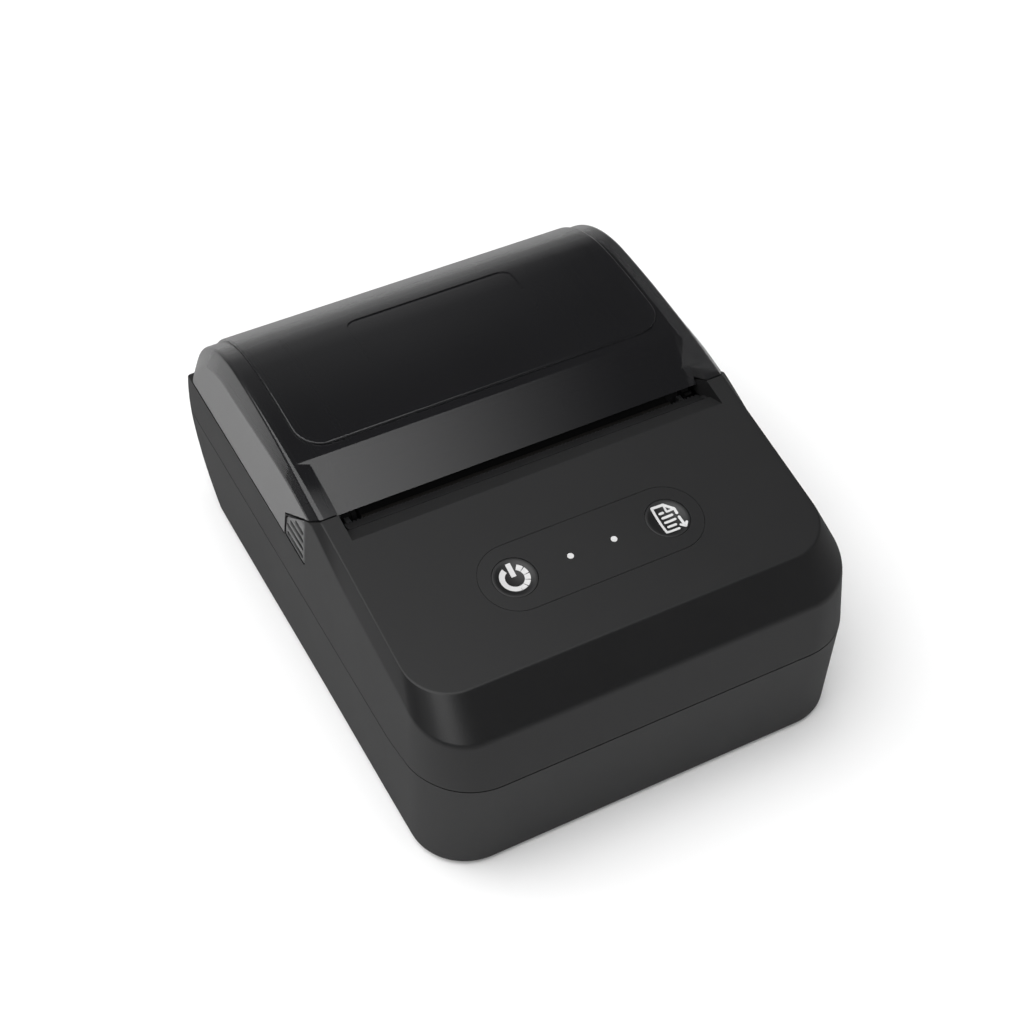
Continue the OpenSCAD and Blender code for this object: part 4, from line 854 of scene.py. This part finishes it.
def feed_strokes():
    """A page with a folded corner, lines of print and an arrow that points to the slot."""
    w = 0.62
    return [
        ([(2.75, 0.53), (2.75, 1.8), (0.86, 3.66), (-2.1, 3.7), (-2.05, -3.35), (1.06, -3.4)], w),
        ([(0.86, 3.66), (0.83, 1.81), (2.75, 1.8)], w * 0.8),
        ([(-0.93, 1.88), (-0.12, 1.88)], w), ([(-0.85, 0.63), (1.58, 0.63)], w),
        ([(-0.89, -0.68), (1.63, -0.68)], w), ([(-0.88, -2.03), (1.02, -2.03)], w),
        ([(2.72, -0.55), (2.72, -3.4)], w), ([(1.98, -2.6), (2.72, -3.5)], w),
        ([(3.46, -2.6), (2.72, -3.5)], w),
    ]


def make_overlay(form):
    """The pill-shaped control overlay with its holes."""
    k = form.k
    film = upright("control_overlay", pill(k.panel_length / 2, k.panel_width / 2, 36), -0.38, 0.02)
    holes = []
    for s in (-1, 1):
        holes.append(post(s * k.button_pitch / 2, 0, k.button_radius + 0.02, -3, 3, 72))
        holes.append(post(s * k.light_pitch / 2, 0, 0.8, -3, 3))
    cut(film, *holes)
    return clean(on_panel(form, film), 0.1)


def make_tear_bar(form):
    """The steel tear bar with its row of teeth."""
    k = form.k
    lip, tear = form.lip_y, form.tear_y
    run, root, front = k.teeth / 2, -0.8, -3.58
    plan = []
    for x in np.arange(-run, run):
        plan += [(x, root), (x + 0.36, -0.04), (x + 0.5, 0), (x + 0.64, -0.04)]
    plan += [(run, root), (run, front), (-run, front)]
    bar = upright("tear_bar", plan, -0.72, -0.21)
    angle = math.atan2(form.plane_z(lip) - form.tear_z, tear - lip)
    bar.data.transform(moved(0, tear, form.tear_z) @ turned(-angle, "X"))
    return clean(bar)


# ---------------------------------------------------------------- shader expressions


class Socket:
    """A shader output that takes part in Python expressions."""

    def __init__(self, tree, out):
        self.tree, self.out = tree, out

    def math(self, operation, *others, flip=False):
        node = self.tree.nodes.new("ShaderNodeMath")
        node.operation = operation
        values = [self, *others]
        for socket, value in zip(node.inputs, values[::-1] if flip else values):
            if isinstance(value, Socket):
                self.tree.links.new(value.out, socket)
            else:
                socket.default_value = value
        return Socket(self.tree, node.outputs[0])

    def __add__(self, other):
        return self.math("ADD", other)

    def __sub__(self, other):
        return self.math("SUBTRACT", other)

    def __rsub__(self, other):
        return self.math("SUBTRACT", other, flip=True)

    def __mul__(self, other):
        return self.math("MULTIPLY", other)

    __radd__, __rmul__ = __add__, __mul__


class Nodes:
    """A node tree that nodes are added to in one way."""

    def __init__(self, tree):
        self.tree = tree

    def put(self, node, socket, value):
        target = node.inputs[socket]
        if isinstance(value, Socket):
            self.tree.links.new(value.out, target)
        elif isinstance(value, bpy.types.NodeSocket):
            self.tree.links.new(value, target)
        elif hasattr(value, "__len__"):
            opaque = (1.0,) if len(value) == 3 and len(target.default_value) == 4 else ()
            target.default_value = (*value, *opaque)
        else:
            target.default_value = value

    def node(self, kind, settings=None, **sockets):
        """A node from its type, its settings, and its sockets' values or links by name or number."""
        node = self.tree.nodes.new(kind)
        for key, value in (settings or {}).items():
            setattr(node, key, value)
        for socket, value in sockets.items():
            by_number = socket[0] == "i" and socket[1:].isdigit()
            self.put(node, int(socket[1:]) if by_number else socket.replace("_", " "), value)
        return node

    def out(self, output, kind, settings=None, **sockets):
        """One output of a new node, for use in expressions."""
        return Socket(self.tree, self.node(kind, settings, **sockets).outputs[output])

    def between(self, value, start, end):
        """A smooth rise from 0 at start to 1 at end."""
        settings = {"interpolation_type": "SMOOTHSTEP"}
        return self.out(0, "ShaderNodeMapRange", settings, i0=value, i1=start, i2=end)


class Finish(Nodes):
    """A material's nodes, with its main shader."""

    def __init__(self, name, **constants):
        self.material = bpy.data.materials.new(name)
        self.material.use_nodes = True
        super().__init__(self.material.node_tree)
        self.shader = self.tree.nodes["Principled BSDF"]
        self.feed(**constants)
        self.place = self.node("ShaderNodeTexCoord").outputs["Object"]

    def noise(self, size, detail=3.0, rough=0.55, stretch=(1, 1, 1)):
        """Noise with features of a size in metres."""
        spot = self.out(0, "ShaderNodeMapping", i0=self.place, i3=stretch)
        return self.out(0, "ShaderNodeTexNoise", Vector=spot, Scale=1 / size, Detail=detail, Roughness=rough)

    def facing(self):
        """How far the surface turns away from the viewer."""
        return self.out("Facing", "ShaderNodeLayerWeight", Blend=0.5)

    def mix(self, factor, first, second):
        """A mix of two colours."""
        return self.out(2, "ShaderNodeMix", {"data_type": "RGBA"}, i0=factor, i6=first, i7=second)

    def bump(self, height, depth, strength):
        return self.out(0, "ShaderNodeBump", Height=height, Distance=depth, Strength=strength)

    def feed(self, **sockets):
        """Feeds the main shader's sockets and returns the material."""
        for socket, value in sockets.items():
            self.put(self.shader, socket.replace("_", " "), value)
        return self.material


def shade(rgb, factor):
    return tuple(max(0.0, min(1.0, v * factor)) for v in rgb)


def moulded(name, rgb, rough, grain, depth, spread=0.10, ior=1.47, dull=0.0):
    """Moulded plastic: an even colour with faint cloudiness, and a fine spark-eroded grain."""
    f = Finish(name, IOR=ior)
    cloud = f.noise(0.018, 4.0)
    fine = f.noise(grain, 2.0, 0.6)
    tint = f.mix(cloud, shade(rgb, 1 - spread), shade(rgb, 1 + spread))
    gloss = (cloud - 0.5) * 0.06 + (fine - 0.5) * 0.05 + rough
    if dull:
        gloss = gloss + f.facing() * dull
    return f.feed(Base_Color=tint, Roughness=gloss, Normal=f.bump(fine, depth, 0.5))


def smoky(finish_group):
    """Dark see-through plastic with a clear gloss and the faint waviness of a moulded lid."""
    rgb = tuple(finish_group.cover)
    f = Finish("smoky_cover", IOR=1.49, Coat_Weight=0.0)
    wave = f.noise(0.03, 2.0, 0.4)
    dust = f.noise(0.0009, 2.0, 0.7)
    tint = f.mix(wave, shade(rgb, 0.85), shade(rgb, 1.15))
    facing = f.facing()
    gloss = (dust - 0.5) * 0.02 + (wave - 0.5) * 0.01 + facing * facing * 0.45 + 0.04
    density = (wave - 0.5) * 0.03 + finish_group.cover_alpha
    return f.feed(Base_Color=tint, Roughness=gloss, Alpha=density, Normal=f.bump(wave, 0.00004, 0.25))


def metal(name, rgb, rough, brush=(1, 1, 1), grain=0.0005, spread=0.12):
    """Metal with drawn or rolled marks that run along one way."""
    f = Finish(name, Metallic=1.0)
    marks = f.noise(grain, 4.0, 0.65, brush)
    cloud = f.noise(0.012, 3.0)
    tint = f.mix(cloud, shade(rgb, 1 - spread), shade(rgb, 1.0))
    gloss = (marks - 0.5) * 0.22 + (cloud - 0.5) * 0.08 + rough
    return f.feed(Base_Color=tint, Roughness=gloss, Normal=f.bump(marks, 0.00002, 0.4))


def rubbery(name, rgb, rough, grain=0.0004):
    """Dull rubber with a fine ground surface."""
    f = Finish(name, IOR=1.2)
    grit = f.noise(grain, 3.0, 0.7)
    wear = f.noise(0.006, 3.0)
    tint = f.mix(wear, shade(rgb, 0.85), shade(rgb, 1.25))
    return f.feed(Base_Color=tint, Roughness=(grit - 0.5) * 0.12 + rough, Normal=f.bump(grit, 0.00005, 0.5))


def board():
    """A green circuit board: solder mask over copper tracks, with bare dots of tin."""
    f = Finish("board_mask", IOR=1.5)
    cell_edge, kind = {"feature": "DISTANCE_TO_EDGE"}, "ShaderNodeTexVoronoi"
    cells = f.out("Distance", kind, cell_edge, Vector=f.place, Scale=420.0)
    dots = f.out("Distance", kind, {"feature": "F1"}, Vector=f.place, Scale=300.0)
    track, dot = cells.math("LESS_THAN", 0.10), dots.math("LESS_THAN", 0.14)
    mask = f.mix(track, (0.010, 0.085, 0.035), (0.022, 0.16, 0.06))
    tint = f.mix(dot, mask, (0.62, 0.62, 0.60))
    relief = f.bump(track, 0.00003, 0.4)
    return f.feed(Base_Color=tint, Roughness=0.42 - dot * 0.1, Metallic=dot * 0.8, Normal=relief)


def film(name, rgb, rough):
    """A flexible cable or wrap with fine lines along its length."""
    f = Finish(name, IOR=1.5)
    bands = {"wave_type": "BANDS", "bands_direction": "X"}
    line = f.out("Fac", "ShaderNodeTexWave", bands, Vector=f.place, Scale=260.0, Distortion=0.0)
    cloud = f.noise(0.01, 2.0)
    tint = f.mix(line * 0.5 + cloud * 0.2, shade(rgb, 0.75), rgb)
    return f.feed(Base_Color=tint, Roughness=(cloud - 0.5) * 0.08 + rough, Normal=f.bump(line, 0.00003, 0.3))


# ---------------------------------------------------------------- operators


def plastic(scene, name, rough, grain, depth=0.00003, spread=0.10, **more):
    """A moulded plastic in one of the user's colours, made once."""
    rgb = tuple(getattr(scene.printer_finish, name))
    return bpy.data.materials.get(name) or moulded(name, rgb, rough, grain, depth, spread, **more)


def casing_plastic(scene):
    return plastic(scene, "casing", 0.32, 0.00035, ior=1.36, dull=0.5)


def button_plastic(scene):
    return plastic(scene, "button", 0.36, 0.0003, ior=1.42)


def printed_white(scene):
    return plastic(scene, "print_white", 0.5, 0.0003, 0.00001, 0.03)


class PRINTER_OT_casing(Operator):
    """Builds the two halves of the casing"""

    bl_idname = "printer.casing"
    bl_label = "Casing"

    def execute(self, context):
        form, plastic = Form(context.scene), casing_plastic(context.scene)
        dress(make_lower_shell(form), "casing", plastic, ["lower_shell"])
        dress(make_upper_shell(form), "casing", plastic, ["upper_shell"])
        return {"FINISHED"}


class PRINTER_OT_cover(Operator):
    """Builds the smoky paper cover"""

    bl_idname = "printer.cover"
    bl_label = "Paper cover"

    def execute(self, context):
        form = Form(context.scene)
        plastic = smoky(context.scene.printer_finish)
        dress(make_cover(form), "cover", plastic, ["paper_cover"])
        return {"FINISHED"}


class PRINTER_OT_latches(Operator):
    """Builds the two push latches beside the cover"""

    bl_idname = "printer.latches"
    bl_label = "Latches"

    def execute(self, context):
        right = make_latch(Form(context.scene))
        left = mirrored(right)
        left.name = "latch_left"
        plastic = button_plastic(context.scene)
        dress(right, "latch_right", plastic, ["latch_right"])
        dress(left, "latch_left", plastic, ["latch_left"])
        return {"FINISHED"}


class PRINTER_OT_controls(Operator):
    """Builds the control overlay, the two round buttons and their printed symbols"""

    bl_idname = "printer.controls"
    bl_label = "Controls"

    def execute(self, context):
        scene = context.scene
        form, white = Form(scene), printed_white(scene)
        sheet = plastic(scene, "overlay", 0.36, 0.0002, 0.00002, ior=1.36)
        dress(make_overlay(form), "casing", sheet, ["control_overlay"])
        half = form.k.button_pitch / 2
        for name, x, strokes in (("power", -half, power_strokes()), ("feed", half, feed_strokes())):
            button = make_button(form, name + "_button", x)
            dress(button, name + "_key", button_plastic(scene), [name + "_button"])
            dress(make_symbol(form, name + "_symbol", x, strokes), name + "_key", white)
        return {"FINISHED"}


class PRINTER_OT_tear_bar(Operator):
    """Builds the toothed tear bar at the paper slot"""

    bl_idname = "printer.tear_bar"
    bl_label = "Tear bar"

    def execute(self, context):
        steel = metal("tear_bar_steel", (0.10, 0.10, 0.103), 0.38, (1, 8, 8))
        dress(make_tear_bar(Form(context.scene)), "casing", steel, ["tear_bar"])
        return {"FINISHED"}


class PRINTER_OT_mechanism(Operator):
    """Gives the CAD parts inside the printer their finishes"""

    bl_idname = "printer.mechanism"
    bl_label = "Mechanism finishes"

    def execute(self, context):
        scene, fine, thin = context.scene, 0.00003, 0.00002
        finishes = {
            "casing_plastic": lambda: casing_plastic(scene),
            "smoky_plastic": lambda: smoky(scene.printer_finish),
            "button_plastic": lambda: button_plastic(scene),
            "inner_plastic": lambda: moulded("inner", (0.008, 0.008, 0.0085), 0.55, 0.0004, fine, ior=1.25),
            "overlay_film": lambda: moulded("overlay_film", (0.02, 0.02, 0.02), 0.36, 0.0002, thin),
            "bright_steel": lambda: metal("bright_steel", (0.66, 0.66, 0.67), 0.24, (1, 12, 12)),
            "sheet_steel": lambda: metal("sheet_steel", (0.56, 0.57, 0.58), 0.36, (6, 1, 1), 0.0008),
            "dark_metal": lambda: metal("dark_metal", (0.20, 0.20, 0.205), 0.38, (1, 8, 8)),
            "bare_aluminium": lambda: metal("bare_aluminium", (0.76, 0.77, 0.78), 0.34, (1, 9, 9)),
            "gear_brass": lambda: metal("gear_brass", (0.72, 0.52, 0.22), 0.28),
            "ceramic": lambda: moulded("head_ceramic", (0.012, 0.011, 0.010), 0.30, 0.0006, 0.00001, 0.06),
            "black_rubber": lambda: rubbery("black_rubber", (0.005, 0.005, 0.0052), 0.80),
            "black_acetal": lambda: moulded("acetal", (0.006, 0.006, 0.0063), 0.45, 0.0005, thin, ior=1.3),
            "flex_film": lambda: film("flex_film", (0.20, 0.095, 0.02), 0.40),
            "circuit_board": board,
            "component_black": lambda: moulded("component", (0.018, 0.018, 0.02), 0.50, 0.0003, fine),
            "clear_guide": lambda: printed_white(scene),
            "lamp_yellow": lambda: moulded("lamp_yellow", (0.70, 0.62, 0.30), 0.30, 0.0003, 0.00001, 0.05),
            "battery_wrap": lambda: film("battery_wrap", (0.05, 0.06, 0.10), 0.32),
        }
        made = {}
        for node, obj in CAD_NODES.items():
            slot = SLOT_OF[node]
            if slot not in made:
                made[slot] = finishes[slot]()
            obj.data.materials.clear()
            obj.data.materials.append(made[slot])
        return {"FINISHED"}


def area_light(name, place, size, power):
    """A soft square light that faces the printer."""
    lamp = bpy.data.lights.new(name, "AREA")
    lamp.shape, lamp.size, lamp.energy = "SQUARE", size, power
    obj = bpy.data.objects.new(name, lamp)
    bpy.context.scene.collection.objects.link(obj)
    obj.location = place
    obj.rotation_euler = Vector(place).to_track_quat("Z", "Y").to_euler()


def paint_room(world):
    """Paints the studio round the printer: a wide soft box overhead, a dark room and a bright horizon."""
    world.use_nodes = True
    world.node_tree.nodes.clear()
    sky, studio = Nodes(world.node_tree), bpy.context.scene.printer_studio
    way = sky.node("ShaderNodeTexCoord").outputs["Generated"]
    x, y, z = (Socket(sky.tree, out) for out in sky.node("ShaderNodeSeparateXYZ", Vector=way).outputs)
    box_left, box_right, box_low = (-0.85, -0.60), (0.20, 0.40), (0.45, 0.65)
    box_near, box_far = (-0.47, -0.34), (0.43, 0.53)
    across_box = sky.between(x, *box_left) * (1 - sky.between(x, *box_right))
    along_box = sky.between(y, *box_near) * (1 - sky.between(y + x * 0.52, *box_far))
    soft_box = across_box * along_box * sky.between(z, *box_low) * studio.soft_box
    right_part = sky.between(x, -0.5, 0.0) * 0.5 + 0.5
    horizon = (1 - sky.between(z, 0.10, 0.45)) * right_part * studio.horizon
    glow_left, glow_right, glow_near = (-0.5, -0.2), (0.30, 0.42), (0.50, 0.85)
    glow = sky.between(y, *glow_near) * sky.between(x, *glow_left) * (1 - sky.between(x, *glow_right))
    rear_glow = glow * studio.rear_glow
    back = sky.node("ShaderNodeBackground", Strength=soft_box + horizon + rear_glow + studio.room)
    sky.node("ShaderNodeOutputWorld", Surface=back.outputs[0])


class PRINTER_OT_stage(Operator):
    """Sets the floor, the painted room, the light and the camera"""

    bl_idname = "printer.stage"
    bl_label = "Stage"

    def execute(self, context):
        scene = context.scene
        mesh = bpy.data.meshes.new("floor")
        bm = bmesh.new()
        bmesh.ops.create_grid(bm, x_segments=24, y_segments=24, size=3.0)
        bm.to_mesh(mesh)
        bm.free()
        floor = bpy.data.objects.new("floor", mesh)
        scene.collection.objects.link(floor)
        f = Finish("studio_paper", IOR=1.3)
        cloud = f.noise(0.4, 2.0)
        rgb = tuple(scene.printer_finish.floor)
        f.feed(Base_Color=f.mix(cloud, shade(rgb, 0.99), rgb), Roughness=(cloud - 0.5) * 0.04 + 0.9)
        mesh.materials.append(f.material)
        scene.world = scene.world or bpy.data.worlds.new("studio")
        paint_room(scene.world)
        area_light("fill", (-0.60, -1.15, 1.35), 0.8, scene.printer_studio.fill)
        camera_data = bpy.data.cameras.new("camera")
        camera_data.lens, camera_data.clip_start = 70, 0.01
        camera = bpy.data.objects.new("camera", camera_data)
        scene.collection.objects.link(camera)
        right, up, back_way = (0.8862, -0.4633, 0.0), (0.3343, 0.6395, 0.6923), (-0.3208, -0.6135, 0.7216)
        place = (-0.154197, -0.296583, 0.377355)
        camera.matrix_world = Matrix.Translation(place) @ Matrix((right, up, back_way)).transposed().to_4x4()
        scene.camera = camera
        scene.view_settings.view_transform = "Standard"
        scene.view_settings.look = "None"
        return {"FINISHED"}


class PRINTER_PT_sidebar(Panel):
    """Lists the printer's builders and their sizes"""

    bl_label = "Receipt printer"
    bl_idname = "PRINTER_PT_sidebar"
    bl_space_type = "VIEW_3D"
    bl_region_type = "UI"
    bl_category = "Printer"

    def draw(self, context):
        layout, scene = self.layout, context.scene
        for operator in OPERATORS:
            layout.operator(operator.bl_idname)
        for group in GROUPS:
            values = getattr(scene, GROUPS[group])
            box_layout = layout.box()
            box_layout.label(text=group.__name__)
            for name in values.bl_rna.properties.keys():
                if name not in ("rna_type", "name"):
                    box_layout.prop(values, name)


OPERATORS = (PRINTER_OT_mechanism, PRINTER_OT_casing, PRINTER_OT_cover, PRINTER_OT_latches,
             PRINTER_OT_controls, PRINTER_OT_tear_bar, PRINTER_OT_stage)
GROUPS = {PrinterCasing: "printer_casing", PrinterCover: "printer_cover",
          PrinterControls: "printer_controls", PrinterFinish: "printer_finish",
          PrinterStudio: "printer_studio"}


def register():
    for group, name in GROUPS.items():
        bpy.utils.register_class(group)
        setattr(bpy.types.Scene, name, PointerProperty(type=group))
    for cls in (*OPERATORS, PRINTER_PT_sidebar):
        bpy.utils.register_class(cls)


def unregister():
    for cls in (PRINTER_PT_sidebar, *OPERATORS[::-1]):
        bpy.utils.unregister_class(cls)
    for group, name in GROUPS.items():
        delattr(bpy.types.Scene, name)
        bpy.utils.unregister_class(group)


def main():
    register()
    bpy.ops.printer.mechanism()
    bpy.ops.printer.casing()
    bpy.ops.printer.cover()
    bpy.ops.printer.latches()
    bpy.ops.printer.controls()
    bpy.ops.printer.tear_bar()
    bpy.ops.printer.stage()


if __name__ == "__main__":
    main()
